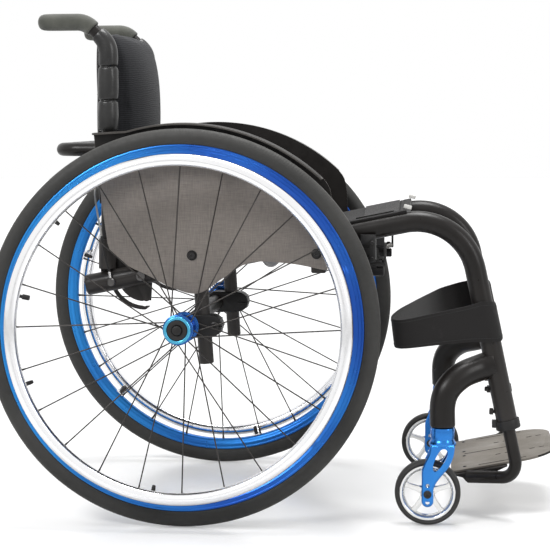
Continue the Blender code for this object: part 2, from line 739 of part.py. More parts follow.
def fork_shape():
    """Fork turned and milled in one: stem, crown, two legs with a drop-shaped window, and the wheel's axle."""
    wheel = caster_centre()
    foot = CROWN_FLANGE
    crown = turned([
        (0, foot - 0.001), (CROWN_RADIUS + 0.0025, foot - 0.001), (CROWN_RADIUS + 0.0025, foot + 0.004),
        (CROWN_RADIUS - 0.001, CROWN_FOOT), (CROWN_RADIUS, HOUSING_FOOT - 0.004), (CROWN_RADIUS - 0.002, HOUSING_FOOT - 0.0008),
        (STEM_RADIUS, HOUSING_FOOT - 0.0008), (STEM_RADIUS, HOUSING_FOOT + HOUSING_BORE_DEPTH - 0.0015),
        (0, HOUSING_FOOT + HOUSING_BORE_DEPTH - 0.0015),
    ], 14, closed=False)
    crown.data.transform(Matrix.Translation((SWIVEL_X, -CASTER_HALF, 0)))
    outline = [
        (SWIVEL_X - 0.0175, foot + 0.002), (wheel.x - 0.0078, 0.085), (wheel.x - FORK_TOE_RADIUS, 0.060),
        (wheel.x - FORK_TOE_RADIUS, FORK_TOE),
    ]
    for k in range(1, 5):
        angle = math.pi + math.pi * k / 5
        outline.append((wheel.x + FORK_TOE_RADIUS * math.cos(angle), FORK_TOE + FORK_TOE_RADIUS * math.sin(angle)))
    outline += [
        (wheel.x + FORK_TOE_RADIUS, FORK_TOE), (wheel.x + FORK_TOE_RADIUS, 0.057), (wheel.x + 0.0165, 0.072),
        (SWIVEL_X + 0.0120, 0.092), (SWIVEL_X + 0.0185, foot + 0.002),
    ]
    window = [
        (SWIVEL_X - 0.0030, 0.1150), (SWIVEL_X - 0.0105, 0.1020), (SWIVEL_X - 0.0135, 0.0900), (SWIVEL_X - 0.0110, 0.0835),
        (SWIVEL_X - 0.0060, 0.0850), (SWIVEL_X + 0.0040, 0.1000), (SWIVEL_X + 0.0075, 0.1130), (SWIVEL_X + 0.0030, 0.1175),
    ]
    legs = []
    for low in (CASTER_HALF - FORK_GAP / 2 - FORK_WALL, CASTER_HALF + FORK_GAP / 2):
        legs.append(slab(outline, low, low + FORK_WALL, -1))
    body = union(crown, *legs)
    cutters = [
        slab(window, CASTER_HALF - 0.05, CASTER_HALF + 0.05, -1),
        across(wheel.x, wheel.z - 0.013, CASTER_HALF - 0.05, CASTER_HALF + 0.05, CASTER_AXLE_RADIUS * 0.8, 6),
        across(wheel.x, wheel.z + 0.013, CASTER_HALF - 0.05, CASTER_HALF + 0.05, CASTER_AXLE_RADIUS * 0.8, 6),
    ]
    reach = FORK_GAP / 2 + FORK_WALL
    head = CASTER_AXLE_RADIUS * 1.5
    axle = across(wheel.x, wheel.z, CASTER_HALF - reach - 0.003, CASTER_HALF + reach + 0.003, head, 10)
    waist = turned([
        (CASTER_AXLE_RADIUS, -FORK_GAP / 2), (head * 1.5, -FORK_GAP / 2), (head * 1.5, FORK_GAP / 2),
        (CASTER_AXLE_RADIUS, FORK_GAP / 2),
    ], 10)
    axle = minus(axle, placed(waist, wheel, (0, -1, 0)))
    return union(minus(body, *cutters), axle)


def caster_tyre_shape():
    half = CASTER_TYRE_WIDTH / 2
    base = CASTER_RADIUS - CASTER_TYRE_DEPTH
    side = [(base, half * 0.78), (CASTER_RADIUS - 0.0042, half), (CASTER_RADIUS, half * 0.45)]
    profile = side + [(r, -w) for r, w in reversed(side)]
    ring = [(flat_radius(r, CASTER_STEPS), w) for r, w in profile]
    return placed(turned(ring, CASTER_STEPS, phase=math.pi / CASTER_STEPS), caster_centre(), (0, -1, 0))


def caster_rim_shape():
    """Spoked rim: outer band, hub barrel with the axle bore and five tapered spokes."""
    outer = CASTER_RADIUS - CASTER_TYRE_DEPTH - SEAT_GAP
    inner = outer - CASTER_RIM_WALL
    half = CASTER_RIM_WIDTH / 2
    band = [(flat_radius(r, CASTER_STEPS), w) for r, w in ((outer, half), (outer, -half), (inner, -half), (inner, half))]
    ring = turned(band, CASTER_STEPS, phase=math.pi / CASTER_STEPS)
    barrel_half = CASTER_HUB_WIDTH / 2
    barrel = rod((0, 0, -barrel_half), (0, 0, barrel_half), CASTER_HUB_RADIUS, 12)
    spokes = []
    for k in range(CASTER_SPOKES):
        spoke = slab(
            [(CASTER_HUB_RADIUS * 0.6, -0.0045), (inner + 0.002, -0.0032), (inner + 0.002, 0.0032), (CASTER_HUB_RADIUS * 0.6, 0.0045)],
            -0.0040, 0.0040
        )
        spoke.data.transform(Matrix.Rotation(math.tau * k / CASTER_SPOKES + math.pi / 2, 4, "Z") @ Matrix.Rotation(math.pi / 2, 4, "X"))
        spokes.append(spoke)
    body = union(ring, barrel, *spokes)
    body = minus(body, rod((0, 0, -0.02), (0, 0, 0.02), flat_radius(CASTER_AXLE_RADIUS + RUN_GAP, 12), 12))
    return placed(body, caster_centre(), (0, -1, 0))


def foot_tube_shape():
    """Footrest tube: telescopes in the leg, bends rearward and inboard, ends in the plate's side bracket."""
    top = (leg_line(FOOT_TUBE_TOP), -FRAME_HALF, FOOT_TUBE_TOP)
    corner = (leg_line(FOOT_TUBE_LOW), -FRAME_HALF, FOOT_TUBE_LOW)
    end = (FOOT_END[0], -FOOT_END[1], FOOT_END[2])
    body = tube(rounded_path([top, corner, end], [FOOT_BEND_RADIUS], 6), FOOT_TUBE, 3)
    outline = [
        (PLATE_REAR[0] + 0.002, plate_under(PLATE_REAR[0] + 0.002)), (0.4210, 0.0545), (0.4310, 0.0480), (0.4480, 0.0480),
        (0.4600, 0.0620), (0.4870, plate_under(0.4870) - 0.001), (0.4870, plate_under(0.4870)),
    ]
    bracket = slab(outline, PLATE_HALF - 0.017, FOOT_END[1] + 0.0015, -1)
    return union(body, bracket)


def plate_under(x):
    """Height just below the footplate's lower face."""
    run = x - PLATE_REAR[0]
    return PLATE_REAR[1] + run * math.tan(PLATE_TILT) - PLATE_WALL / math.cos(PLATE_TILT) - SEAT_GAP


def plate_shape():
    """Footplate: rounded front, two rows of slots, three shallow grooves and four screw holes."""
    outline = []
    corners = ((PLATE_REAR_CORNER, PLATE_REAR_CORNER, -180, 3), (PLATE_LENGTH - PLATE_CORNER, PLATE_CORNER, -90, 6))
    for middle, radius, first, steps in corners:
        for k in range(steps + 1):
            angle = math.radians(first + 90 * k / steps)
            outline.append((middle + radius * math.cos(angle), -PLATE_HALF + radius + radius * math.sin(angle)))
    outline += [(x, -y) for x, y in reversed(outline)]
    bm = bmesh.new()
    face = bm.faces.new([bm.verts.new((x, y, 0)) for x, y in outline])
    grown = bmesh.ops.extrude_face_region(bm, geom=[face])
    moved = [v for v in grown["geom"] if isinstance(v, bmesh.types.BMVert)]
    bmesh.ops.translate(bm, vec=(0, 0, -PLATE_WALL), verts=moved)
    plate = as_object(bm)
    cutters = []
    for y in (-0.048, 0.048):
        for x in (0.0707, 0.0857, 0.1007, 0.1247, 0.1397):
            cutters.append(box((x, y - 0.0014, -0.01), (x + 0.009, y + 0.0014, 0.01)))
    for y, low, high in ((0.0, 0.0217, 0.0927), (-0.104, 0.0427, 0.1177), (0.104, 0.0427, 0.1177)):
        cutters.append(box((low, y - 0.0008, -0.0012), (high, y + 0.0008, 0.01)))
    for y in (-0.017, 0.017, -0.100, 0.100):
        cutters.append(rod((PLATE_SCREW_INSET, y, -0.01), (PLATE_SCREW_INSET, y, 0.01), 0.0022, 6))
    plate = minus(plate, *cutters)
    plate.data.transform(Matrix.Translation((PLATE_REAR[0], 0, PLATE_REAR[1])) @ Matrix.Rotation(-PLATE_TILT, 4, "Y"))
    return plate


def build_frame(look):
    tubes = side_tube_shape()
    node(twin(tubes), "side_tube_l", look["frame"])
    node(tubes, "side_tube_r", look["frame"])
    height = seat_line(CROSS_TUBE_PLACE)
    low = height - CROSS_TUBE_DROP
    reach = FRAME_HALF - 0.004
    bend = FRAME_HALF - CROSS_TUBE_BEND
    corners = [(-reach, height), (-bend, low), (bend, low), (reach, height)]
    cross = tube(rounded_path([(CROSS_TUBE_PLACE, y, z) for y, z in corners], [0.05, 0.05], 3), CROSS_TUBE_RADIUS)
    copes = []
    for side in SIDES.values():
        rear, corner, _ = frame_path(side)
        copes.append(rod(rear, corner, flat_radius(FRAME_TUBE + SEAT_GAP, 24), 24))
    node(minus(cross, *copes), "cross_tube", look["frame"])
    post = post_shape()
    node(twin(post), "axle_post_l", look["frame"])
    node(post, "axle_post_r", look["frame"])
    clamp = clamp_shape()
    node(twin(clamp), "axle_clamp_l", look["plastic"])
    node(clamp, "axle_clamp_r", look["plastic"])
    node(camber_tube_shape(), "camber_tube", look["frame"])
    arm = caster_arm_shape()
    node(twin(arm), "caster_arm_l", look["frame"])
    node(arm, "caster_arm_r", look["frame"])
    collar = collar_shape()
    node(twin(collar), "footrest_collar_l", look["plastic"])
    node(collar, "footrest_collar_r", look["plastic"])


def build_casters(look):
    pivot = Vector((SWIVEL_X, -CASTER_HALF, CASTER_RADIUS))
    pieces = {
        "caster_fork": (fork_shape(), look["blue"], pivot),
        "caster_tyre": (caster_tyre_shape(), look["tyre"], caster_centre()),
        "caster_rim": (caster_rim_shape(), look["polished"], caster_centre()),
    }
    for name, (thing, material, place) in pieces.items():
        node(twin(thing), f"{name}_l", material, (place.x, -place.y, place.z), 35)
        node(thing, f"{name}_r", material, place, 35)


def build_footrest(look):
    tubes = foot_tube_shape()
    node(twin(tubes), "footrest_tube_l", look["frame"])
    node(tubes, "footrest_tube_r", look["frame"])
    node(plate_shape(), "footplate", look["plate"], smooth=30)


def guard_outline():
    """Guard outline in X and Z: wheel-side arc on top, rear edge, wavy lower edge, front edge."""
    top = []
    for k in range(9):
        angle = math.radians(106 - 5.4 * k)
        top.append((LIP_RADIUS * math.cos(angle), HUB_HEIGHT + LIP_RADIUS * math.sin(angle)))
    arc_end = top[0][1]
    front = [(0.228, 0.480), (0.226, 0.440), (0.221, 0.400)]
    wave = smooth_path([
        (0.2150, 0.0, 0.3800), (0.1600, 0.0, 0.3900), (0.1000, 0.0, 0.3915), (0.0600, 0.0, 0.3690), (0.0200, 0.0, 0.3445),
        (-0.0200, 0.0, 0.3530), (-0.0550, 0.0, 0.3705), (-0.0900, 0.0, 0.3875), (-0.1140, 0.0, 0.4070),
    ], 2)
    rear = [(-0.1200, arc_end - 0.1490), (-0.1290, arc_end - 0.0840), (-0.1370, arc_end - 0.0030)]
    return top + front + [(p.x, p.z) for p in wave] + rear


def guard_shape():
    """Side guard: thin panel inboard of the wheel with a lip that covers the top of the tyre."""
    panel = slab(guard_outline(), GUARD_FACE, GUARD_FACE + GUARD_WALL, -1)
    inner, outer = LIP_RADIUS - LIP_WALL, LIP_RADIUS
    arc = []
    for radius, turn in ((outer, 1), (inner, -1)):
        points = [math.radians(106 - 5.4 * k) for k in range(9)][::turn]
        arc += [(radius * math.cos(a), HUB_HEIGHT + radius * math.sin(a)) for a in points]
    lip = slab(arc, GUARD_FACE + GUARD_WALL / 2, GUARD_FACE + LIP_REACH, -1)
    return union(panel, lip)


def build_guards(look):
    guard = guard_shape()
    node(twin(guard), "side_guard_l", look["guard"], smooth=30)
    node(guard, "side_guard_r", look["guard"], smooth=30)


def cane_corners(side=-1):
    y = side * FRAME_HALF
    return [(CANE_FOOT[0], y, CANE_FOOT[1]), (CANE_TOP[0], y, CANE_TOP[1]), (CANE_BACK[0], y, CANE_BACK[1]), (CANE_END, y, CANE_BACK[1])]


def cane_path(side=-1):
    return rounded_path(cane_corners(side), [0.035, 0.030], 4)


def cane_place(height, side=-1):
    """Point on the cane's centre line at a height."""
    points = cane_path(side)
    for low, high in zip(points, points[1:]):
        if low.z <= height <= high.z and high.z > low.z:
            return low.lerp(high, (height - low.z) / (high.z - low.z))
    return points[-1]


def socket_shape():
    """Hinge plate with its arc slot and notches, and the socket that holds the cane."""
    inner = FRAME_HALF - FRAME_TUBE - RUN_GAP - HINGE_WALL
    outer = inner + HINGE_WALL
    px, pz = PIVOT
    outline = [(px + 0.0115, pz + 0.009), (px + 0.0115, pz - 0.016), (px + 0.0090, pz - 0.049), (px + 0.0020, pz - 0.055)]
    for k in range(6):
        angle = math.radians(268 - 14 * k)
        outline.append((px + 0.0555 * math.cos(angle), pz + 0.0555 * math.sin(angle)))
    outline += [
        (-0.1370, 0.3690), (-0.1380, 0.4250), (-0.1080, 0.4250), (-0.1010, 0.3980), (px - 0.004, pz + 0.0125), (px + 0.006, pz + 0.0125),
    ]
    plate = slab(outline, inner, outer, -1)
    web = box((CANE_FOOT[0] - 0.010, -outer + 0.001, SOCKET_FOOT + 0.008), (CANE_FOOT[0] + 0.012, -FRAME_HALF + 0.004, SOCKET_HEAD))
    low = Vector((CANE_FOOT[0], -FRAME_HALF, SOCKET_FOOT))
    high = cane_place(SOCKET_HEAD)
    socket = rod(low, high, SOCKET_RADIUS, 12)
    body = union(plate, web, socket)
    bore = rod(low - (high - low) * 0.1, high + (high - low) * 0.1, flat_radius(CANE_TUBE + SEAT_GAP, 12), 12)
    cutters = [bore, across(px, pz, inner - 0.01, outer + 0.01, flat_radius(PIVOT_PIN_RADIUS + SEAT_GAP, 12))]
    arc = []
    start, stop = QUADRANT_START - 0.02, QUADRANT_START + SECOND_NOTCH
    for radius, turn in ((QUADRANT_RADIUS + QUADRANT_SLOT, 1), (QUADRANT_RADIUS - QUADRANT_SLOT, -1)):
        angles = [start + (stop - start) * k / 7 for k in range(8)][::turn]
        arc += [(px + radius * math.cos(a), pz + radius * math.sin(a)) for a in angles]
    cutters.append(slab(arc, inner - 0.01, outer + 0.01, -1))
    for angle in (QUADRANT_START, QUADRANT_START + FOLD_STOP, QUADRANT_START + SECOND_NOTCH):
        x, z = px + QUADRANT_RADIUS * math.cos(angle), pz + QUADRANT_RADIUS * math.sin(angle)
        cutters.append(across(x, z, inner - 0.01, outer + 0.01, NOTCH_RADIUS, 10))
    return minus(body, *cutters)


def hinge_pin_shape():
    """Shoulder bolt of the folding back: head outside the seat run, nut inside the hinge plate."""
    plate_in = FRAME_HALF - FRAME_TUBE - RUN_GAP - HINGE_WALL
    head = FRAME_HALF + FRAME_TUBE + SEAT_GAP
    profile = [
        (0, plate_in - 0.005), (0.0080, plate_in - 0.005), (0.0080, plate_in - SEAT_GAP), (PIVOT_PIN_RADIUS, plate_in - SEAT_GAP),
        (PIVOT_PIN_RADIUS, head), (0.0080, head), (0.0070, head + 0.0030), (0, head + 0.0030),
    ]
    return placed(turned(profile, 12, closed=False), (PIVOT[0], 0, PIVOT[1]), (0, -1, 0))


def latch_pin_shape():
    """Sprung pin through the seat run that holds the quadrant in a notch."""
    tip = FRAME_HALF - FRAME_TUBE - RUN_GAP - HINGE_WALL - 0.001
    head = FRAME_HALF + FRAME_TUBE + SEAT_GAP
    x, z = latch_place()
    profile = [
        (0, tip), (LATCH_RADIUS * 0.7, tip), (LATCH_RADIUS, tip + 0.001), (LATCH_RADIUS, head), (LATCH_HEAD_RADIUS, head),
        (LATCH_HEAD_RADIUS, head + 0.004), (LATCH_HEAD_RADIUS * 0.7, head + 0.0052), (0, head + 0.0052),
    ]
    return placed(turned(profile, 10, closed=False), (x, 0, z), (0, -1, 0))


def grip_shape():
    """Foam push grip over the cane's rear bend, closed and rounded behind."""
    path = [p for p in cane_path() if p.z > GRIP_START]
    start = cane_place(GRIP_START)
    end = Vector((GRIP_END, -FRAME_HALF, CANE_BACK[1]))
    points = [start, *path[:-1], Vector((GRIP_END + 0.012, *end[1:])), Vector((GRIP_END + 0.004, *end[1:])), end]
    scales = [0.94] + [1.0] * (len(points) - 3) + [0.82, 0.35]
    body = tube(points, GRIP_RADIUS, 3, scales)
    bore = tube(cane_path(), CANE_TUBE + SEAT_GAP * 1.5, 4)
    return minus(body, bore)


def sleeve_shape():
    """Padded vinyl sleeve on the cane in three puffed lengths with pinched seams."""
    stations = [
        (0, 0.0125), (0.055, 0.0153), (0.165, 0.0160), (0.268, 0.0150), (0.316, 0.0128), (0.378, 0.0152),
        (0.495, 0.0158), (0.612, 0.0147), (0.674, 0.0122), (0.742, 0.0146), (0.914, 0.0148), (1, 0.0122),
    ]
    points = [cane_place(SLEEVE_FOOT + (SLEEVE_HEAD - SLEEVE_FOOT) * along) for along, _ in stations]
    body = tube(points, 0.01, 3, [r / 0.01 for _, r in stations])
    bore = tube(cane_path(), CANE_TUBE + SEAT_GAP * 1.5, 4)
    return minus(body, bore)


def bar_shape():
    """Stiffening bar that bows rearward from cane to cane, coped onto both."""
    y = FRAME_HALF
    start = cane_place(BAR_HEIGHT).x
    corners = [(start, -y, BAR_HEIGHT), (BAR_BACK, -y, BAR_HEIGHT), (BAR_BACK, y, BAR_HEIGHT), (start, y, BAR_HEIGHT)]
    body = tube(rounded_path(corners, [BAR_BEND_RADIUS] * 2, 5), BAR_TUBE, 3)
    copes = []
    for side in SIDES.values():
        low, high = cane_place(BAR_HEIGHT - 0.03, side), cane_place(BAR_HEIGHT + 0.03, side)
        copes.append(rod(low, high, flat_radius(CANE_TUBE + SEAT_GAP, 24), 24))
        edge = sorted((side * (y - 0.03), side * (y + 0.03)))
        copes.append(box((start, edge[0], BAR_HEIGHT - 0.03), (start + 0.03, edge[1], BAR_HEIGHT + 0.03)))
    return minus(body, *copes)


def pillow(columns, rows, front, back):
    """Closed cushion from two height fields over a grid, u and v running from -1 to 1."""
    bm = bmesh.new()
    sheets = []
    for face in (front, back):
        sheet = []
        for j in range(rows + 1):
            v = -1 + 2 * j / rows
            sheet.append([bm.verts.new(face(-1 + 2 * i / columns, v)) for i in range(columns + 1)])
        sheets.append(sheet)
    for sheet in sheets:
        for j in range(rows):
            for i in range(columns):
                bm.faces.new((sheet[j][i], sheet[j][i + 1], sheet[j + 1][i + 1], sheet[j + 1][i]))
    near, far = sheets
    for j in range(rows):
        for i in (0, columns):
            bm.faces.new((near[j][i], near[j + 1][i], far[j + 1][i], far[j][i]))
    for i in range(columns):
        for j in (0, rows):
            bm.faces.new((near[j][i], near[j][i + 1], far[j][i + 1], far[j][i]))
    return as_object(bm)


def edge_fall(u, power):
    """1 in the middle of a span, falling to 0 at its ends."""
    return (1 - abs(u) ** power) ** (1 / 2.2)


def back_bow(y):
    return BACK_BOW * (1 - (y / BACK_HALF) ** 2)


def upholstery_shape():
    """Tensioned back panel between the canes, bowed rearward, with three soft channels."""
    middle = (BACK_HEAD + BACK_FOOT) / 2
    half = (BACK_HEAD - BACK_FOOT) / 2

    def face(sign):
        def point(u, v):
            y, z = u * BACK_HALF, middle + v * half
            puff = BACK_WALL * 0.5 * (0.35 + 0.65 * edge_fall(u, 6) * edge_fall(v, 10))
            puff *= 0.82 + 0.18 * abs(math.sin(1.5 * math.pi * (v + 1)))
            return (BACK_FACE + BACK_WALL / 2 - back_bow(y) + sign * puff, y, z)
        return point
    return pillow(8, 12, face(1), face(-1))


def cushion_shape():
    """Back cushion: crowned front, sides drawn in between the corners, rolled top edge, thin below."""
    middle = (CUSHION_HEAD + BACK_FOOT) / 2
    half = (CUSHION_HEAD - BACK_FOOT) / 2
    rest = BACK_FACE + BACK_WALL + SEAT_GAP

    def place(u, v):
        side = 1 - CUSHION_DRAW * (1 - v * v)
        return u * CUSHION_HALF * side, middle + v * half

    def back(u, v):
        y, z = place(u, v)
        return (rest + 0.004 * (1 - edge_fall(u, 8)) - back_bow(y), y, z)

    def front(u, v):
        y, z = place(u, v)
        crown = 0.30 + 0.70 * edge_fall(u, 5) * edge_fall(v, 7)
        taper = 1.0 - 0.42 * max(0.0, -v) ** 1.5
        lean = 0.012 * u * u
        return (rest + (CUSHION_DEPTH * taper + lean) * crown - back_bow(y), y, z)
    return pillow(16, 18, front, back)


def sling_shape():
    """Seat sling: rests on both seat runs and hangs between them, with a hemmed front edge."""
    stations = 7
    half = FRAME_HALF
    bed = FRAME_TUBE + SEAT_GAP * 2
    columns = []
    for k in range(3):
        angle = math.radians(116 - 16 * k)
        columns.append((-half + bed * math.cos(angle), bed * math.sin(angle)))
    span = half - 0.002
    for k in range(1, 10):
        u = -1 + 2 * k / 10
        columns.append((u * span, bed - SLING_SAG * (1 - u * u)))
    columns += [(-y, z) for y, z in reversed(columns[:3])]
    bm = bmesh.new()
    rings = []
    for s in range(stations):
        x = SLING_REAR + (SLING_FRONT - SLING_REAR) * s / (stations - 1)
        hem = 1.35 if s == stations - 1 else 1.0
        centre = seat_line(x)
        lower, upper = [], []
        for i, (y, z) in enumerate(columns):
            before, after = columns[max(i - 1, 0)], columns[min(i + 1, len(columns) - 1)]
            normal = Vector((before[1] - after[1], after[0] - before[0])).normalized()
            lower.append(bm.verts.new((x, y, centre + z)))
            upper.append(bm.verts.new((x, y + normal.x * SLING_WALL * hem, centre + z + normal.y * SLING_WALL * hem)))
        rings.append(lower + upper[::-1])
    for first, second in zip(rings, rings[1:]):
        count = len(first)
        for k in range(count):
            bm.faces.new((first[k], first[(k + 1) % count], second[(k + 1) % count], second[k]))
    bm.faces.new(rings[0])
    bm.faces.new(rings[-1])
    return as_object(bm)


def ribbon(stations, wall):
    """Upright band along (place, height, lean) stations, with rounded wall corners left to the finish."""
    bm = bmesh.new()
    rings = []
    count = len(stations)
    for i, (place, height, lean) in enumerate(stations):
        before, after = stations[max(i - 1, 0)][0], stations[min(i + 1, count - 1)][0]
        along = Vector(((after - before).x, (after - before).y, 0)).normalized()
        side = Vector((along.y, -along.x, 0)) * wall / 2
        up = Vector((lean, 0, 1)) * height / 2
        rings.append([bm.verts.new(place + a * side + b * up) for a, b in ((1, 1), (-1, 1), (-1, -1), (1, -1))])
    for first, second in zip(rings, rings[1:]):
        for k in range(4):
            bm.faces.new((first[k], first[(k + 1) % 4], second[(k + 1) % 4], second[k]))
    bm.faces.new(rings[0])
    bm.faces.new(rings[-1])
    return as_object(bm)


def calf_strap_shape():
    """Calf strap: wraps the front of each leg, runs rearward on the right and crosses behind the calves."""
    middle = 0.304
    wrap = FRAME_TUBE + SEAT_GAP * 3 + STRAP_WALL / 2
    stations = []
    leg = Vector((leg_line(middle), -FRAME_HALF, middle))
    for angle in (70, 46, 22, -2, -26, -50, -74, -95):
        turn = math.radians(angle)
        stations.append((leg + Vector((wrap * math.cos(turn), wrap * math.sin(turn), 0)), 0.058, LEG_LEAN))
    run = [
        ((0.4250, -0.1835, 0.3000), 0.053, -0.19), ((0.3800, -0.1850, 0.2930), 0.048, -0.15), ((0.3400, -0.1850, 0.2860), 0.044, -0.12),
        ((0.3220, -0.1820, 0.2840), 0.043, -0.12), ((0.3140, -0.1700, 0.2850), 0.043, -0.12), ((0.3150, -0.1400, 0.2870), 0.044, -0.12),
        ((0.3240, -0.0700, 0.2880), 0.044, -0.12), ((0.3370, 0.0000, 0.2885), 0.044, -0.12), ((0.3520, 0.0700, 0.2890), 0.045, -0.14),
        ((0.3700, 0.1300, 0.2910), 0.047, -0.16), ((0.3900, 0.1680, 0.2950), 0.050, -0.18), ((0.4200, 0.1835, 0.3000), 0.055, -0.20),
    ]
    stations += [(Vector(p), h, lean) for p, h, lean in run]
    leg = Vector((leg_line(middle), FRAME_HALF, middle))
    for angle in (95, 74, 50, 26, 2, -22, -46, -70):
        turn = math.radians(angle)
        stations.append((leg + Vector((wrap * math.cos(turn), wrap * math.sin(turn), 0)), 0.058, LEG_LEAN))
    return ribbon(stations, STRAP_WALL)


def cord_route():
    """Release cord: up from the right latch, round behind the cane, across the back and down to the left latch."""
    y = FRAME_HALF + FRAME_TUBE + 0.0035
    x, z = latch_place()
    half = [
        (x - 0.0010, y, z + LATCH_HEAD_RADIUS + 0.0008), (x - 0.0035, y, z + 0.020), (-0.1225, y, 0.4000), (-0.1285, y, 0.4350),
        (-0.1345, y - 0.0020, 0.4680), (-0.1395, y - 0.0120, 0.4900), (-0.1425, y - 0.0300, 0.5010), (-0.1480, 0.1150, 0.5020),
        (-0.1560, 0.0600, 0.4990),
    ]
    route = [(a, -b, c) for a, b, c in half] + [(-0.1590, 0.0, 0.4980)] + list(reversed(half))
    return smooth_path(route, 3)


def build_back(look):
    pivot = {key: (PIVOT[0], side * FRAME_HALF, PIVOT[1]) for key, side in SIDES.items()}
    middle = (PIVOT[0], 0, PIVOT[1])
    cane = tube(cane_path(), CANE_TUBE, 4)
    node(twin(cane), "back_cane_l", look["frame"], pivot["l"])
    node(cane, "back_cane_r", look["frame"], pivot["r"])
    plate = socket_shape()
    node(twin(plate), "hinge_plate_l", look["frame"], pivot["l"], 30)
    node(plate, "hinge_plate_r", look["frame"], pivot["r"], 30)
    grip = grip_shape()
    node(twin(grip), "push_grip_l", look["grip"], pivot["l"], 60)
    node(grip, "push_grip_r", look["grip"], pivot["r"], 60)
    sleeve = sleeve_shape()
    node(twin(sleeve), "post_sleeve_l", look["vinyl"], pivot["l"], 70)
    node(sleeve, "post_sleeve_r", look["vinyl"], pivot["r"], 70)
    node(bar_shape(), "rigidizer_bar", look["frame"], middle)
    node(upholstery_shape(), "back_upholstery", look["fabric"], middle, 60)
    node(cushion_shape(), "back_cushion", look["cushion"], middle, 60)
    node(tube(cord_route(), CORD_RADIUS, 2), "release_cord", look["spoke"], middle, 60)
    pin = hinge_pin_shape()
    node(twin(pin), "hinge_pin_l", look["steel"], pivot["l"])
    node(pin, "hinge_pin_r", look["steel"], pivot["r"])
    latch = latch_pin_shape()
    x, z = latch_place()
    node(twin(latch), "latch_pin_l", look["steel"], (x, FRAME_HALF, z))
    node(latch, "latch_pin_r", look["steel"], (x, -FRAME_HALF, z))


def lock_bracket_shape():
    """Wheel lock body clamped under the seat run, coped to the tube, with the tongue and pin of its lever."""
    px, py = LOCK_PIVOT
    top = seat_line(px)
    front = px - LOCK_CLEARANCE
    block = box((front - LOCK_BLOCK_LENGTH, -py - 0.010, LOCK_BLOCK_FOOT), (front, -FRAME_HALF + 0.008, top))
    rear, corner, _ = frame_path(-1)
    cope = rod(rear, corner, flat_radius(FRAME_TUBE + SEAT_GAP, 24), 24)
    above = box((px - 0.05, -py - 0.05, seat_line(front - LOCK_BLOCK_LENGTH) - 0.004), (px + 0.05, 0, top + 0.05))
    block = minus(block, cope, above)
    tongue = box((front - 0.004, -py - LOCK_EYE, LOCK_BLOCK_FOOT), (px, -py + LOCK_EYE, LOCK_BLOCK_FOOT + 0.0035))
    eye = rod((px, -py, LOCK_BLOCK_FOOT), (px, -py, LOCK_BLOCK_FOOT + 0.0035), LOCK_EYE, 10)
    pin = rod((px, -py, LOCK_BLOCK_FOOT - LOCK_WALL), (px, -py, LOCK_BLOCK_FOOT + 0.002), LOCK_PIN_RADIUS, 10)
    return union(block, tongue, eye, pin)


def lock_lever_shape():
    """Lock lever: link under the block, upright plate in front of it, stem with ball knob, pin for the shoe."""
    px, py = LOCK_PIVOT
    high = LOCK_BLOCK_FOOT - SEAT_GAP
    low = high - LOCK_WALL
    heel_x = px - LOCK_LINK
    front = px + LOCK_EYE + RUN_GAP
    half = 0.0065
    link_plate = box((heel_x, -py - half, low), (front + 0.0033, -py + half, high))
    heel = rod((heel_x, -py, low), (heel_x, -py, high), half, 12)
    upright = box((front, -py - half, low), (front + 0.0033, -py + half, LOCK_BLOCK_FOOT + LOCK_PLATE_RISE))
    knob_height = LOCK_BLOCK_FOOT + LOCK_KNOB_RISE
    stem = rod((front, -py, knob_height - 0.0038), (front + 0.0095, -py, knob_height), 0.0020, 8)
    bm = bmesh.new()
    bmesh.ops.create_icosphere(bm, subdivisions=2, radius=LOCK_KNOB_RADIUS)
    bmesh.ops.translate(bm, vec=(front + LOCK_KNOB_RADIUS * 2, -py, knob_height), verts=bm.verts)
    knob = as_object(bm)
    eye = rod((px, -py, low - 0.01), (px, -py, high + 0.01), flat_radius(LOCK_PIN_RADIUS + SEAT_GAP, 10), 10)
    shoe_pin = rod((heel_x, -py, low - LOCK_WALL), (heel_x, -py, high), LOCK_PIN_RADIUS, 10)
    return union(minus(union(link_plate, heel, upright, stem, knob), eye), shoe_pin)


def lock_shoe_shape():
    """Lock shoe: arm on the lever's far pin and the roller that presses on the tyre."""
    px, py = LOCK_PIVOT
    heel_x = px - LOCK_LINK
    centre = heel_x + LOCK_ARM
    high = LOCK_BLOCK_FOOT - LOCK_WALL - SEAT_GAP * 2
    low = high - LOCK_WALL
    arm = box((heel_x, -py - 0.0050, low), (centre, -py + 0.0050, high))
    heel = rod((heel_x, -py, low), (heel_x, -py, high), 0.0062, 12)
    half = LOCK_SHOE_LENGTH / 2
    roller = rod((centre - half, -py, LOCK_SHOE_HEIGHT), (centre + half, -py, LOCK_SHOE_HEIGHT), LOCK_SHOE_RADIUS, 12)
    eye = rod((heel_x, -py, low - 0.01), (heel_x, -py, high + 0.01), flat_radius(LOCK_PIN_RADIUS + SEAT_GAP, 10), 10)
    return union(minus(union(arm, heel), eye), roller)


def build_locks(look):
    px, py = LOCK_PIVOT
    bracket = lock_bracket_shape()
    node(twin(bracket), "brake_bracket_l", look["plastic"], smooth=30)
    node(bracket, "brake_bracket_r", look["plastic"], smooth=30)
    for name, thing, x in (("brake_lever", lock_lever_shape(), px), ("brake_shoe", lock_shoe_shape(), px - LOCK_LINK)):
        node(twin(thing), f"{name}_l", look["plastic"], (x, py, LOCK_BLOCK_FOOT), 30)
        node(thing, f"{name}_r", look["plastic"], (x, -py, LOCK_BLOCK_FOOT), 30)


def build_seat(look):
    node(sling_shape(), "seat_sling", look["fabric"], smooth=60)
    node(calf_strap_shape(), "calf_strap", look["fabric"], smooth=60)


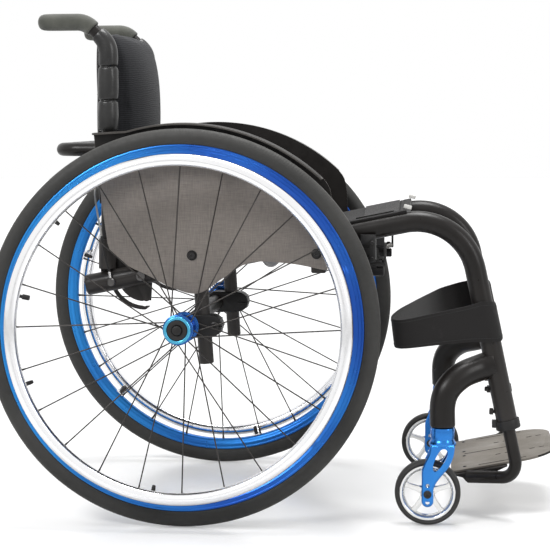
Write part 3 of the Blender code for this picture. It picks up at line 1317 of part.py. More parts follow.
def looks():
    return {
        "frame": finish_material("satin_black_frame", (0.030, 0.028, 0.026), 0.42, 0.2),
        "plastic": finish_material("black_plastic", (0.026, 0.025, 0.025), 0.55),
        "steel": finish_material("dark_steel", (0.10, 0.10, 0.10), 0.35, 0.9),
        "spoke": finish_material("black_spoke", (0.035, 0.033, 0.032), 0.40, 0.6),
        "polished": finish_material("polished_aluminium", (0.86, 0.86, 0.87), 0.22, 0.95),
        "blue": finish_material("blue_anodised", (0.010, 0.150, 0.720), 0.28, 0.8),
        "tyre": finish_material("tyre_rubber", (0.045, 0.045, 0.043), 0.80),
        "guard": finish_material("woven_guard", (0.180, 0.158, 0.140), 0.55),
        "plate": finish_material("grey_footplate", (0.205, 0.180, 0.155), 0.60),
        "grip": finish_material("foam_grip", (0.060, 0.062, 0.055), 0.90),
        "vinyl": finish_material("vinyl_sleeve", (0.022, 0.021, 0.022), 0.35),
        "fabric": finish_material("black_fabric", (0.020, 0.020, 0.021), 0.85),
        "cushion": finish_material("charcoal_cushion", (0.040, 0.040, 0.042), 0.90),
    }


def main():
    clear_scene()
    look = looks()
    build_wheels(look)
    build_frame(look)
    build_casters(look)
    build_footrest(look)
    build_guards(look)
    build_back(look)
    build_locks(look)
    build_seat(look)
    bpy.context.view_layer.update()


main()
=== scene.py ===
import math

import bmesh
import bpy
from mathutils import Matrix, Vector, noise


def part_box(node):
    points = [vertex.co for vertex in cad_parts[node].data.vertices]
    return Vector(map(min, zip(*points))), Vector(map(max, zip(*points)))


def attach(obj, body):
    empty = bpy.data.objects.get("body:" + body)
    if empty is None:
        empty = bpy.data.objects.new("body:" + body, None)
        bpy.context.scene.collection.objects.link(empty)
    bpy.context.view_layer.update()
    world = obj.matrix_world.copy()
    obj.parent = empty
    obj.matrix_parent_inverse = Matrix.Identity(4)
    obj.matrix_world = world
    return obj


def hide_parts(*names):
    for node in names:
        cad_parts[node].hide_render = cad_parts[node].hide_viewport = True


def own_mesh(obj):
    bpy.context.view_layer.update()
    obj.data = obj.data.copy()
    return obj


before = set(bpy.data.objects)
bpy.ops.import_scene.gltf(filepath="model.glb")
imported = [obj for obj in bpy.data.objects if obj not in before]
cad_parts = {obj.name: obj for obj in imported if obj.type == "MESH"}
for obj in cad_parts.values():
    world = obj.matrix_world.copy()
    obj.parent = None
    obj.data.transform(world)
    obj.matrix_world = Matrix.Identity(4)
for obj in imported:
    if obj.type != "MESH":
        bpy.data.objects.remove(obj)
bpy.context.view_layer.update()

# ---------------------------------------------------------------- sizes, in metres from under the wheel axis
TYRE_RADIUS = 0.2965
HUB_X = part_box("tyre_r")[0].x + TYRE_RADIUS
SIDES = {"r": -1, "l": 1}
CAMBER = math.radians(2.33)
TRACK_HALF = 0.231
TYRE_BASE = 0.2703
HUB_HEIGHT = TYRE_RADIUS * math.cos(CAMBER) + 0.0045 * math.sin(CAMBER)
RIM_BED = TYRE_BASE - 0.0003
RIM_INNER = RIM_BED - 0.0145
HANDRIM_RADIUS = 0.2493
HANDRIM_TUBE = 0.0095
HANDRIM_OFFSET = 0.0405
FRAME_HALF = 0.165
FRAME_TUBE = 0.0158
SEAT_REAR = (-0.152, 0.3545)
SEAT_CORNER = (0.417, 0.468)
LEG_LEAN = -0.2129
LEG_END = 0.142
POST_HALF = 0.17
CASTER_HALF = 0.2
SWIVEL_X = 0.388
CASTER_X = SWIVEL_X - 0.022
CASTER_Z = 0.0492
GUARD_FACE = 0.1868
LIP_RADIUS = 0.3045
PIVOT = (-0.069, 0.37)
CANE_TUBE = 0.0095
PLATE_REAR = (0.401, 0.0635)
PLATE_TILT = math.radians(11.0)
SEAT_SLOPE = (SEAT_CORNER[1] - SEAT_REAR[1]) / (SEAT_CORNER[0] - SEAT_REAR[0])
LEG_DOWN = Vector((-LEG_LEAN, 0, -1)).normalized()
FIT = 0.0002
GUARD_SCREWS = ((0.011, 0.402), (0.199, 0.405))
LIP_START, LIP_SPAN = 106, 59.4
STITCH_PITCH, THREAD_RADIUS = 0.004, 0.00045
LATCH_RADIUS, LATCH_ANGLE = 0.046, 192.5
LOOK = {}  # finishes by their short names, filled by make_finishes


def on_circle(centre, radius, degrees):
    angle = math.radians(degrees)
    return centre[0] + radius * math.cos(angle), centre[1] + radius * math.sin(angle)


def arc2(centre, radius, start, step, count):
    """Flat points round a centre, a step of degrees apart."""
    return [on_circle(centre, radius, start + step * k) for k in range(count)]


def on_hinge(degrees=0.0, radius=LATCH_RADIUS):
    """A place round the hinge of the back, in degrees from where its latch pin sits."""
    return on_circle(PIVOT, radius, LATCH_ANGLE + degrees)


def seat_line(x):
    return SEAT_REAR[1] + SEAT_SLOPE * (x - SEAT_REAR[0])


def leg_line(z):
    return SEAT_CORNER[0] + LEG_LEAN * (z - SEAT_CORNER[1])


def axle_line(y):
    return HUB_HEIGHT - (TRACK_HALF - y) * math.tan(CAMBER)


def wheel_frame(side):
    """Matrix from a wheel's own frame, +Z outward and +Y up in the wheel's plane, to the chair."""
    outward = Vector((0, side * math.cos(CAMBER), math.sin(CAMBER)))
    up = (Vector((0, 0, 1)) - outward * outward.z).normalized()
    turn = Matrix((up.cross(outward), up, outward)).transposed().to_4x4()
    return Matrix.Translation((0, side * TRACK_HALF, HUB_HEIGHT)) @ turn


# ---------------------------------------------------------------- making shapes
def link(mesh, name="blank"):
    thing = bpy.data.objects.new(name, mesh)
    bpy.context.scene.collection.objects.link(thing)
    return thing


def as_object(bm, name="blank"):
    bm.normal_update()
    bmesh.ops.recalc_face_normals(bm, faces=bm.faces)
    mesh = bpy.data.meshes.new(name)
    bm.to_mesh(mesh)
    bm.free()
    return link(mesh, name)


def applied(thing):
    depsgraph = bpy.context.evaluated_depsgraph_get()
    mesh = bpy.data.meshes.new_from_object(thing.evaluated_get(depsgraph), depsgraph=depsgraph)
    mesh.transform(thing.matrix_world)
    bpy.data.objects.remove(thing, do_unlink=True)
    return link(mesh)


def eased(thing, width, segments=2, angle=32.0):
    """Round the edges of a piece with a small bevel."""
    step = thing.modifiers.new("ease", "BEVEL")
    step.width = width
    step.segments = segments
    step.limit_method = "ANGLE"
    step.angle_limit = math.radians(angle)
    step.use_clamp_overlap = True
    step.harden_normals = False
    return applied(thing)


def boolean(base, tools, operation):
    for tool in tools:
        cut = base.modifiers.new(operation.lower(), "BOOLEAN")
        cut.operation = operation
        cut.object = tool
    result = applied(base)
    for tool in tools:
        bpy.data.objects.remove(tool, do_unlink=True)
    return result


def union(base, *others):
    return boolean(base, others, "UNION")


def minus(base, *cutters):
    return boolean(base, cutters, "DIFFERENCE")


def joined(*things):
    """One mesh of several that touch or lie apart."""
    bm = bmesh.new()
    for thing in things:
        bm.from_mesh(thing.data)
        bpy.data.objects.remove(thing, do_unlink=True)
    mesh = bpy.data.meshes.new("joined")
    bm.to_mesh(mesh)
    bm.free()
    return link(mesh)


def moved(thing, matrix):
    thing.data.transform(matrix)
    if matrix.determinant() < 0:
        thing.data.flip_normals()
    return thing


def shifted(thing, *offset):
    return moved(thing, Matrix.Translation(offset))


def twin(thing):
    return moved(link(thing.data.copy()), Matrix.Diagonal((1, -1, 1, 1)))


def block(low, high):
    bm = bmesh.new()
    bmesh.ops.create_cube(bm, size=1.0)
    low, high = Vector(low), Vector(high)
    bmesh.ops.scale(bm, vec=high - low, verts=bm.verts)
    bmesh.ops.translate(bm, vec=(low + high) / 2, verts=bm.verts)
    return as_object(bm)


def rod(start, end, radius, steps=32):
    start, end = Vector(start), Vector(end)
    along = end - start
    bm = bmesh.new()
    bmesh.ops.create_cone(bm, cap_ends=True, segments=steps, radius1=radius, radius2=radius, depth=along.length)
    bm.transform(Matrix.Translation((start + end) / 2) @ along.to_track_quat("Z", "Y").to_matrix().to_4x4())
    return as_object(bm)


def cross_rod(place, near, far, radius, steps=20):
    """Rod across the right-hand side at a place in X and Z, between two distances from the middle plane."""
    return rod((place[0], -near, place[1]), (place[0], -far, place[1]), radius, steps)


def seat_tube_cutter(side=-1):
    """What a side tube's seat run takes out of a piece that meets it."""
    ends = [(x, side * FRAME_HALF, z) for x, z in (SEAT_REAR, SEAT_CORNER)]
    return rod(*ends, FRAME_TUBE + FIT, 40)


def turned(profile, steps, closed=True):
    """Ring or shaft about Z from (radius, height) points; a closed profile leaves a bore."""
    bm = bmesh.new()
    verts = [bm.verts.new((r, 0, z)) for r, z in profile]
    for a, b in zip(verts, verts[1:] + (verts[:1] if closed else [])):
        bm.edges.new((a, b))
    bmesh.ops.spin(
        bm, geom=bm.verts[:] + bm.edges[:], cent=(0, 0, 0), axis=(0, 0, 1), angle=math.tau, steps=steps,
        use_merge=False, use_duplicate=False
    )
    bmesh.ops.remove_doubles(bm, verts=bm.verts, dist=2e-6)
    return as_object(bm)


def shaft(profile, steps=24):
    """Turned piece without a bore."""
    return turned(profile, steps, closed=False)


def arc_profile(points, radius, steps=3):
    """A closed (radius, height) outline with every corner rounded."""
    out = []
    count = len(points)
    for i in range(count):
        before, corner, after = (Vector(points[(i + k) % count]) for k in (-1, 0, 1))
        a, b = before - corner, after - corner
        reach = min(radius, a.length * 0.42, b.length * 0.42)
        first, last = corner + a.normalized() * reach, corner + b.normalized() * reach
        for k in range(steps + 1):
            t = k / steps
            out.append(first * (1 - t) ** 2 + corner * 2 * t * (1 - t) + last * t * t)
    return [(p.x, p.y) for p in out]


def socket_bolt(foot, edge, top, floor, outer, rim, mouth, socket, steps=24):
    """Bolt head with a round socket: four heights, then four radii from the outside in."""
    profile = [(0, foot), (outer, foot), (outer, edge), (rim, top), (mouth, top), (socket, floor), (0, floor)]
    return shaft(profile, steps)


def along_axis(thing, origin, axis):
    turn = Vector(axis).to_track_quat("Z", "Y").to_matrix().to_4x4()
    return moved(thing, Matrix.Translation(Vector(origin)) @ turn)


def prism(points, rise):
    """Solid from a flat outline, drawn out along a vector."""
    bm = bmesh.new()
    face = bm.faces.new([bm.verts.new(p) for p in points])
    grown = bmesh.ops.extrude_face_region(bm, geom=[face])
    bmesh.ops.translate(bm, vec=rise, verts=[v for v in grown["geom"] if isinstance(v, bmesh.types.BMVert)])
    return as_object(bm)


def slab(outline, low, high, flip=-1):
    """Sheet with an outline in X and Z, between two distances from the middle plane."""
    return prism([(x, flip * low, z) for x, z in outline], (0, flip * (high - low), 0))


def curve2(points, per_span=4, closed=False):
    """Flat smooth run through flat points."""
    return [(p.x, p.y) for p in smooth_path([(x, y, 0) for x, y in points], per_span, closed)]


def skinned(bm, rings):
    """Faces between rings of corners, and one on each end."""
    for low, high in zip(rings, rings[1:]):
        for k in range(len(low)):
            n = (k + 1) % len(low)
            bm.faces.new((low[k], low[n], high[n], high[k]))
    bm.faces.new(rings[0][::-1])
    bm.faces.new(rings[-1])
    return as_object(bm)


def rounded_path(corners, radii, steps=10):
    points = [Vector(corners[0])]
    for before, corner, after, radius in zip(corners, corners[1:], corners[2:], radii):
        before, corner, after = Vector(before), Vector(corner), Vector(after)
        inward, onward = (before - corner).normalized(), (after - corner).normalized()
        half = inward.angle(onward) / 2
        centre = corner + (inward + onward).normalized() * (radius / math.sin(half))
        first = corner + inward * (radius / math.tan(half)) - centre
        last = corner + onward * (radius / math.tan(half)) - centre
        for k in range(steps + 1):
            points.append(centre + first.slerp(last, k / steps).normalized() * radius)
    points.append(Vector(corners[-1]))
    return points


def smooth_path(knots, per_span=4, closed=False):
    knots = [Vector(k) for k in knots]
    count = len(knots)
    points = []
    for i in range(count if closed else count - 1):
        if closed:
            p0, p1, p2, p3 = (knots[(i + k) % count] for k in (-1, 0, 1, 2))
        else:
            p1, p2 = knots[i], knots[i + 1]
            p0 = knots[i - 1] if i else p1 * 2 - p2
            p3 = knots[i + 2] if i + 2 < count else p2 * 2 - p1
        for k in range(per_span):
            t = k / per_span
            points.append(0.5 * (2 * p1 + (p2 - p0) * t + (2 * p0 - 5 * p1 + 4 * p2 - p3) * t * t
                                 + (3 * p1 - p0 - 3 * p2 + p3) * t * t * t))
    if not closed:
        points.append(knots[-1])
    return points


def swept(points, sides, radius):
    """Tube along points; radius(i, angle) is its size there. Rings keep their turn from one to the next."""
    bm = bmesh.new()
    last = len(points) - 1
    rings, across = [], None
    for i, point in enumerate(points):
        along = (points[min(i + 1, last)] - points[max(i - 1, 0)]).normalized()
        across = along.orthogonal() if across is None else across - along * across.dot(along)
        across.normalize()
        other = along.cross(across)
        angles = [math.tau * k / sides for k in range(sides)]
        offsets = [(across * math.cos(a) + other * math.sin(a)) * radius(i, a) for a in angles]
        rings.append([bm.verts.new(point + offset) for offset in offsets])
    return skinned(bm, rings)


def tube(points, radius, sides=28, scales=None):
    return swept([Vector(p) for p in points], sides, lambda i, angle: radius * (scales[i] if scales else 1.0))


def cloth_grid(thickness, surface, columns, rows, u_size, v_size):
    """Closed sheet with its own UV in metres; surface(u, v) gives a point for u and v from 0 to 1."""
    bm = bmesh.new()
    uv = bm.loops.layers.uv.new("cloth")
    points = [[surface(i / columns, j / rows) for i in range(columns + 1)] for j in range(rows + 1)]
    sides = []
    for sign in (1, -1):
        layer = []
        for j in range(rows + 1):
            line = []
            for i in range(columns + 1):
                du = points[j][min(i + 1, columns)] - points[j][max(i - 1, 0)]
                dv = points[min(j + 1, rows)][i] - points[max(j - 1, 0)][i]
                normal = du.cross(dv).normalized()
                line.append(bm.verts.new(points[j][i] + normal * sign * thickness(i / columns, j / rows) / 2))
            layer.append(line)
        sides.append(layer)

    def add(*corners):
        face = bm.faces.new([sides[s][j][i] for s, j, i in corners])
        for loop, (s, j, i) in zip(face.loops, corners):
            loop[uv].uv = (i / columns * u_size, j / rows * v_size)
    for j in range(rows):
        for i in range(columns):
            add((0, j, i), (0, j, i + 1), (0, j + 1, i + 1), (0, j + 1, i))
            add((1, j, i), (1, j + 1, i), (1, j + 1, i + 1), (1, j, i + 1))
    for j in range(rows):
        add((0, j, 0), (0, j + 1, 0), (1, j + 1, 0), (1, j, 0))
        add((0, j, columns), (1, j, columns), (1, j + 1, columns), (0, j + 1, columns))
    for i in range(columns):
        add((0, 0, i), (1, 0, i), (1, 0, i + 1), (0, 0, i + 1))
        add((0, rows, i), (0, rows, i + 1), (1, rows, i + 1), (1, rows, i))
    return as_object(bm)


def finished(thing, name, finish, body, nodes=(), slot=None, smooth=38.0):
    """Name a piece, shade it, move it to the model frame, tie it to its body and hide the CAD nodes it stands for."""
    thing.data.transform(Matrix.Translation((HUB_X, 0, 0)))
    thing.name = name
    thing.data.name = name
    thing.data.materials.clear()
    thing.data.materials.append(LOOK[finish])
    thing.data.shade_smooth()
    thing.data.set_sharp_from_angle(angle=math.radians(smooth))
    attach(thing, body)
    if nodes:
        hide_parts(*nodes)
    return thing


def both_sides(thing, name, finish, body, nodes=(), slot=None, smooth=38.0):
    """Finish a right-hand piece and its left-hand twin; a body that ends in _ is there once on each side."""
    for key, made in (("l", twin(thing)), ("r", thing)):
        own = body + key if body.endswith("_") else body
        finished(made, f"{name}_{key}", finish, own, [f"{n}_{key}" for n in nodes], slot, smooth)


# ---------------------------------------------------------------- node trees and finishes
class Nodes:
    """Any node tree: a node is added with its settings and inputs, a value or a link goes into a socket."""

    def add(self, kind, inputs=None, **settings):
        made = self.tree.nodes.new(kind)
        for key, value in settings.items():
            setattr(made, key, value)
        for key, value in (inputs or {}).items():
            self.wire(value, made.inputs[key])
        return made

    def wire(self, value, socket):
        if isinstance(value, bpy.types.NodeSocket):
            self.tree.links.new(value, socket)
        else:
            socket.default_value = value

    def maths(self, operation, *values):
        return self.add("ShaderNodeMath", dict(enumerate(values)), operation=operation).outputs[0]

    def times(self, a, b):
        return self.maths("MULTIPLY", a, b)

    def plus(self, a, b):
        return self.maths("ADD", a, b)


class Finish(Nodes):
    """One procedural material: a Principled shader and the few kinds of node that its pattern needs."""

    def __init__(self, name, colour, roughness, metallic=0.0, **fixed):
        self.material = bpy.data.materials.new(name)
        self.material.use_nodes = True
        self.tree = self.material.node_tree
        self.shader = self.tree.nodes["Principled BSDF"]
        self.put("Base Color", (*colour, 1.0))
        self.put("Roughness", roughness)
        self.put("Metallic", metallic)
        for key, value in fixed.items():
            self.put(key.replace("_", " "), value)
        coordinates = self.node("TexCoord")
        self.place = coordinates.outputs["Object"]
        self.cloth = coordinates.outputs["UV"]

    def node(self, kind, inputs=None, **settings):
        return self.add("ShaderNode" + kind, inputs, **settings)

    def put(self, name, value):
        self.wire(value, self.shader.inputs[name])

    def noise(self, scale, detail=3.0, rough=0.5, stretch=None):
        vector = self.place
        if stretch:
            vector = self.node("Mapping", {"Vector": vector, "Scale": stretch}).outputs["Vector"]
        inputs = {"Vector": vector, "Scale": scale, "Detail": detail, "Roughness": rough}
        return self.node("TexNoise", inputs).outputs["Fac"]

    def cells(self, scale):
        return self.node("TexVoronoi", {"Vector": self.place, "Scale": scale}, feature="F1").outputs["Distance"]

    def part(self, vector, axis):
        return self.node("SeparateXYZ", {0: vector}).outputs[axis]

    def ribs(self, vector, axis, pitch, sharp=1.0):
        """0 to 1 waves along one axis, a pitch apart."""
        wave = self.maths("SINE", self.times(self.part(vector, axis), math.tau / pitch))
        wave = self.maths("MULTIPLY_ADD", wave, 0.5, 0.5)
        return self.maths("POWER", wave, sharp) if sharp != 1.0 else wave

    def remap(self, value, low, high, to_low, to_high, smooth=False):
        inputs = {"Value": value, "From Min": low, "From Max": high, "To Min": to_low, "To Max": to_high}
        kind = "SMOOTHSTEP" if smooth else "LINEAR"
        return self.node("MapRange", inputs, interpolation_type=kind).outputs["Result"]

    def blend(self, factor, a, b):
        step = self.node("Mix", {"Factor": factor}, data_type="RGBA")
        for key, value in (("A", a), ("B", b)):
            socket = next(s for s in step.inputs if s.name == key and s.type == "RGBA")
            self.wire(value if isinstance(value, bpy.types.NodeSocket) else (*value, 1.0), socket)
        return next(s for s in step.outputs if s.type == "RGBA")

    def edge_wear_and_highlight(self, colour, edge_colour, amount=0.5):
        """Paler along the outer edges: edge wear, and a painted highlight where the edge colour is pale, as on the
        guard lip.
        """
        shape = self.node("NewGeometry").outputs["Pointiness"]
        return self.blend(self.remap(shape, 0.52, 0.6, 0.0, amount, True), colour, edge_colour)

    def mottled(self, scale, detail, a, b):
        """Two colours that drift into each other."""
        return self.blend(self.remap(self.noise(scale, detail), 0.3, 0.7, 0.0, 1.0), a, b)

    def vary_roughness(self, scale, detail, low, high, top=0.7):
        self.put("Roughness", self.remap(self.noise(scale, detail), 0.3, top, low, high))

    def bump(self, height, distance, strength=1.0):
        step = self.node("Bump", {"Height": height, "Distance": distance, "Strength": strength})
        self.put("Normal", step.outputs["Normal"])


def satin_coat(name, colour, edge, roughness=0.32, grain=1500.0, grain_depth=0.00004, specular=0.26, edge_wear_and_highlight=0.45):
    """Powder coat or moulded plastic: fine grain, slight colour drift, paler edges: edge wear, and on the guard lip a
    painted highlight.
    """
    f = Finish(name, colour, roughness, Specular_IOR_Level=specular)
    f.put("Base Color", f.edge_wear_and_highlight(f.mottled(22.0, 3.0, shade(colour, 0.78), shade(colour, 1.25)), edge, edge_wear_and_highlight))
    f.put("Roughness", f.remap(f.noise(70.0, 4.0), 0.25, 0.75, roughness - 0.06, roughness + 0.08))
    f.bump(f.noise(grain, 2.0), grain_depth, 0.6)
    return f.material


def shade(colour, share):
    return tuple(c * share for c in colour)


def anodised(name, colour, deep, roughness=0.24):
    """Dyed, polished aluminium: deeper in places at random, paler towards -X and deeper towards +X as painted light,
    with fine turning lines.
    """
    f = Finish(name, colour, roughness, 0.92, Specular_IOR_Level=0.5, Coat_Weight=0.15, Coat_Roughness=0.25)
    # painted light: the blue is paler towards -X and deeper towards +X, a painted reflection gradient of the studio
    painted_left_light = f.remap(f.part(f.place, "X"), HUB_X - 0.24, HUB_X + 0.22, 0.72, 0.28)
    drift_and_painted_light = f.remap(f.plus(f.noise(5.0, 2.0), painted_left_light), 0.72, 1.28, 0.0, 1.0, True)
    pale = tuple(min(1, c * 1.3 + 0.05) for c in colour)
    f.put("Base Color", f.edge_wear_and_highlight(f.blend(drift_and_painted_light, deep, colour), pale, 0.1))
    f.vary_roughness(60.0, 2.0, roughness - 0.03, roughness + 0.03)
    f.bump(f.noise(1600.0, 2.0), 0.000003, 0.1)
    return f.material


def polished(name, colour, roughness=0.17):
    f = Finish(name, colour, roughness, 1.0)
    f.put("Base Color", f.mottled(12.0, 3.0, shade(colour, 0.96), colour))
    f.vary_roughness(60.0, 3.0, roughness - 0.03, roughness + 0.04, 0.75)
    f.bump(f.noise(1600.0, 2.0), 0.000008, 0.2)
    return f.material


def tyre_rubber():
    """Grey-black rubber with dust on the crown, cross cuts on the shoulders and rings above the bead."""
    f = Finish("tyre_rubber", (0.036, 0.036, 0.034), 0.62,
               Specular_IOR_Level=0.3, Sheen_Weight=0.06, Sheen_Roughness=0.5)
    away = f.maths("ABSOLUTE", f.part(f.cloth, "Y"))
    crown = f.remap(away, 0.004, 0.011, 1.0, 0.0, True)
    dust = f.times(crown, f.remap(f.noise(45.0, 5.0), 0.35, 0.7, 0.15, 0.9))
    tint = f.mottled(9.0, 4.0, (0.026, 0.026, 0.0245), (0.042, 0.041, 0.039))
    f.put("Base Color", f.blend(dust, tint, (0.06, 0.058, 0.054)))
    f.vary_roughness(120.0, 4.0, 0.52, 0.7)
    shoulder = f.maths("ABSOLUTE", f.maths("SUBTRACT", away, 0.0085))
    cuts = f.times(f.ribs(f.cloth, "X", 0.0042, 3.0), f.remap(shoulder, 0.0015, 0.0032, 1.0, 0.0, True))
    rings = f.times(f.ribs(f.cloth, "Y", 0.0011), 0.35)
    grain = f.times(f.noise(1100.0, 3.0), 0.35)
    f.bump(f.maths("SUBTRACT", grain, f.plus(cuts, rings)), 0.00018, 0.8)
    return f.material


def woven_panel():
    """Satin grey-brown panel with a fine two-way weave."""
    f = Finish("woven_panel", (0.175, 0.155, 0.138), 0.46, Specular_IOR_Level=0.45)
    warp = f.noise(1.0, 2.0, stretch=(900.0, 1.0, 60.0))
    weft = f.noise(1.0, 2.0, stretch=(60.0, 1.0, 900.0))
    cross = f.times(f.ribs(f.place, "X", 0.0016), f.ribs(f.place, "Z", 0.0016))
    threads = f.times(f.plus(warp, weft), 0.5)
    threads = f.plus(threads, f.times(cross, 0.22))
    cloud = f.remap(f.noise(5.0, 3.0), 0.3, 0.7, 0.9, 1.08)
    tint = f.blend(f.remap(threads, 0.35, 0.8, 0.0, 1.0), (0.132, 0.116, 0.104), (0.245, 0.217, 0.193))
    f.put("Base Color", f.node("VectorMath", {0: tint, "Scale": cloud}, operation="SCALE").outputs[0])
    f.put("Roughness", f.remap(threads, 0.3, 0.8, 0.4, 0.56))
    f.bump(threads, 0.0001, 0.5)
    return f.material


def footplate_coat():
    """Grey grip coat: speckled, dull, rubbed where shoes stand."""
    f = Finish("footplate_coat", (0.205, 0.18, 0.155), 0.6, 0.15)
    speck = f.remap(f.cells(1400.0), 0.1, 0.6, 0.0, 1.0)
    rub = f.remap(f.noise(16.0, 4.0), 0.42, 0.72, 0.0, 0.6, True)
    tint = f.blend(speck, (0.118, 0.106, 0.09), (0.188, 0.168, 0.142))
    f.put("Base Color", f.edge_wear_and_highlight(f.blend(rub, tint, (0.215, 0.196, 0.168)), (0.34, 0.31, 0.28), 0.4))
    f.put("Roughness", f.remap(rub, 0.0, 0.6, 0.64, 0.46))
    f.bump(f.plus(speck, f.noise(600.0, 3.0)), 0.0001, 0.5)
    return f.material


def foam():
    """Closed-cell foam, olive black and dull."""
    f = Finish("grip_foam", (0.06, 0.062, 0.052), 0.92,
               Specular_IOR_Level=0.25, Sheen_Weight=0.35, Sheen_Roughness=0.6)
    f.put("Base Color", f.mottled(40.0, 5.0, (0.044, 0.046, 0.038), (0.082, 0.084, 0.07)))
    f.bump(f.plus(f.cells(1600.0), f.noise(180.0, 4.0)), 0.00018, 0.7)
    return f.material


def vinyl():
    """Black soft vinyl with a leather print and small creases."""
    f = Finish("soft_vinyl", (0.012, 0.0115, 0.0115), 0.26,
               Specular_IOR_Level=0.4, Coat_Weight=0.1, Coat_Roughness=0.22)
    tint = f.mottled(30.0, 4.0, (0.008, 0.008, 0.008), (0.018, 0.0175, 0.017))
    f.put("Base Color", f.edge_wear_and_highlight(tint, (0.07, 0.07, 0.068), 0.5))
    f.vary_roughness(60.0, 3.0, 0.28, 0.38)
    crease = f.noise(1.0, 4.0, 0.55, (60.0, 60.0, 220.0))
    height = f.plus(f.times(f.cells(900.0), 0.3), f.times(crease, 1.6))
    f.bump(height, 0.00035, 0.4)
    return f.material


def webbing(name, colour, rib, cord, sheen):
    """Woven band or cloth on its own map: fine cross ribs and lengthwise cords."""
    f = Finish(name, colour, 0.82, Specular_IOR_Level=0.3, Sheen_Weight=sheen, Sheen_Roughness=0.45)
    across, along = f.ribs(f.cloth, "X", rib), f.ribs(f.cloth, "Y", cord)
    fuzz = f.noise(1200.0, 3.0)
    weave = f.plus(f.times(across, 0.55), f.times(along, 0.45))
    lit = f.times(weave, f.remap(fuzz, 0.3, 0.7, 0.5, 1.2))
    lint = f.remap(f.noise(60.0, 5.0), 0.62, 0.78, 0.0, 0.35, True)
    f.put("Base Color", f.blend(lint, f.blend(lit, shade(colour, 0.55), shade(colour, 1.6)), shade(colour, 3.0)))
    f.put("Roughness", f.remap(fuzz, 0.3, 0.7, 0.74, 0.92))
    f.bump(f.plus(weave, f.times(fuzz, 0.4)), 0.00025, 0.7)
    return f.material


def mesh_cloth(name, colour, row=0.003):
    """Charcoal spacer cloth: level rows of small cells that waver a little."""
    f = Finish(name, colour, 0.88, Specular_IOR_Level=0.22, Sheen_Weight=0.1, Sheen_Roughness=0.4)
    height = f.plus(f.part(f.place, "Z"), f.times(f.noise(26.0, 3.0), 0.01))
    place = f.node("CombineXYZ", {1: f.part(f.place, "Y"), 2: height})
    rows = f.ribs(place.outputs[0], "Z", row, 1.4)
    cell = f.ribs(f.place, "Y", row * 1.3)
    fuzz = f.noise(900.0, 3.0)
    small = f.times(f.plus(cell, fuzz), 0.16)
    weave = f.plus(f.times(rows, 0.75), small)
    f.put("Base Color", f.blend(weave, shade(colour, 0.55), shade(colour, 1.45)))
    f.put("Roughness", f.remap(fuzz, 0.3, 0.7, 0.8, 0.95))
    f.bump(weave, 0.0004, 0.65)
    return f.material


def make_finishes():
    grey = (0.07, 0.07, 0.07)
    coats = {
        "frame": ("frame_coat", (0.0085, 0.007, 0.0062), (0.07, 0.064, 0.06)),
        "plastic": ("black_plastic", (0.01, 0.0095, 0.0095), grey, 0.44, 900.0, 0.00008, 0.28, 0.35),
        "plug": ("plug_plastic", (0.015, 0.013, 0.012), grey, 0.55, 700.0, 0.0001, 0.25, 0.3),
        # the lip's pale edge colour is a painted highlight along its edge
        "lip": ("lip_coat", (0.0095, 0.008, 0.0072), (0.26, 0.24, 0.22), 0.34, 1200.0, 0.00005, 0.34, 0.22),
        # painted shade: dark sheets on the guard's inner face and on its outer face under the lip
        "lining": ("guard_lining", (0.0095, 0.008, 0.0072), (0.02, 0.018, 0.017), 0.36, 1200.0, 0.00005, 0.26, 0.0),
        "caster_tyre": ("caster_rubber", (0.028, 0.027, 0.026), (0.05, 0.05, 0.05), 0.62, 800.0, 0.00008, 0.35, 0.2),
        # painted shade: the dark coat on the footplate's slot walls and groove floors
        "recess": ("plate_recess", (0.012, 0.011, 0.01), (0.03, 0.03, 0.03), 0.6, 1200.0, 0.0001, 0.15, 0.1),
        "thread": ("thread_black", (0.03, 0.03, 0.03), (0.06, 0.06, 0.06), 0.8, 1500.0, 0.0001, 0.2, 0.2),
        "cord": ("cord_sheath", (0.3, 0.3, 0.29), (0.4, 0.4, 0.4), 0.7, 2000.0, 0.0002, 0.3, 0.2),
        "tab": ("pull_tab", (0.62, 0.61, 0.58), (0.8, 0.8, 0.8), 0.6, 1200.0, 0.0001, 0.3, 0.2),
    }
    metals = {
        "steel": ("dark_steel", (0.115, 0.112, 0.11), 0.3),
        "screw": ("black_screw", (0.045, 0.044, 0.044), 0.36),
        "bright": ("bright_screw", (0.62, 0.61, 0.6), 0.22),
        "spoke": ("spoke_black", (0.06, 0.056, 0.053), 0.38),
        "handrim": ("handrim_polish", (0.93, 0.93, 0.94), 0.16),
        "caster_rim": ("caster_rim_polish", (0.8, 0.8, 0.79), 0.2),
        "knob": ("knob_metal", (0.16, 0.157, 0.15), 0.42),
    }
    dyed = {
        "rim": ("rim_anodised", (0.03, 0.26, 0.68), (0.014, 0.08, 0.4), 0.3),
        "blue": ("blue_anodised", (0.045, 0.29, 0.72), (0.022, 0.16, 0.54), 0.2),
        "hub": ("hub_anodised", (0.022, 0.12, 0.4), (0.016, 0.08, 0.3), 0.24),
        "ring": ("ring_anodised", (0.09, 0.43, 0.64), (0.07, 0.38, 0.6), 0.25),
    }
    cloths = {
        "strap": ("strap_webbing", (0.011, 0.01, 0.01), 0.001, 0.0012, 0.1),
        "sling": ("sling_cloth", (0.013, 0.012, 0.012), 0.0022, 0.0022, 0.15),
        "back": ("back_cloth", (0.011, 0.01, 0.0105), 0.002, 0.002, 0.12),
        "loop": ("loop_pad", (0.014, 0.013, 0.013), 0.0011, 0.0011, 0.25),
    }
    LOOK.update(tyre=tyre_rubber(), guard=woven_panel(), plate=footplate_coat(), grip=foam(), vinyl=vinyl(),
                cushion=mesh_cloth("cushion_cloth", (0.019, 0.0195, 0.022)))
    for make, table in ((satin_coat, coats), (polished, metals), (anodised, dyed), (webbing, cloths)):
        LOOK.update({key: make(*values) for key, values in table.items()})


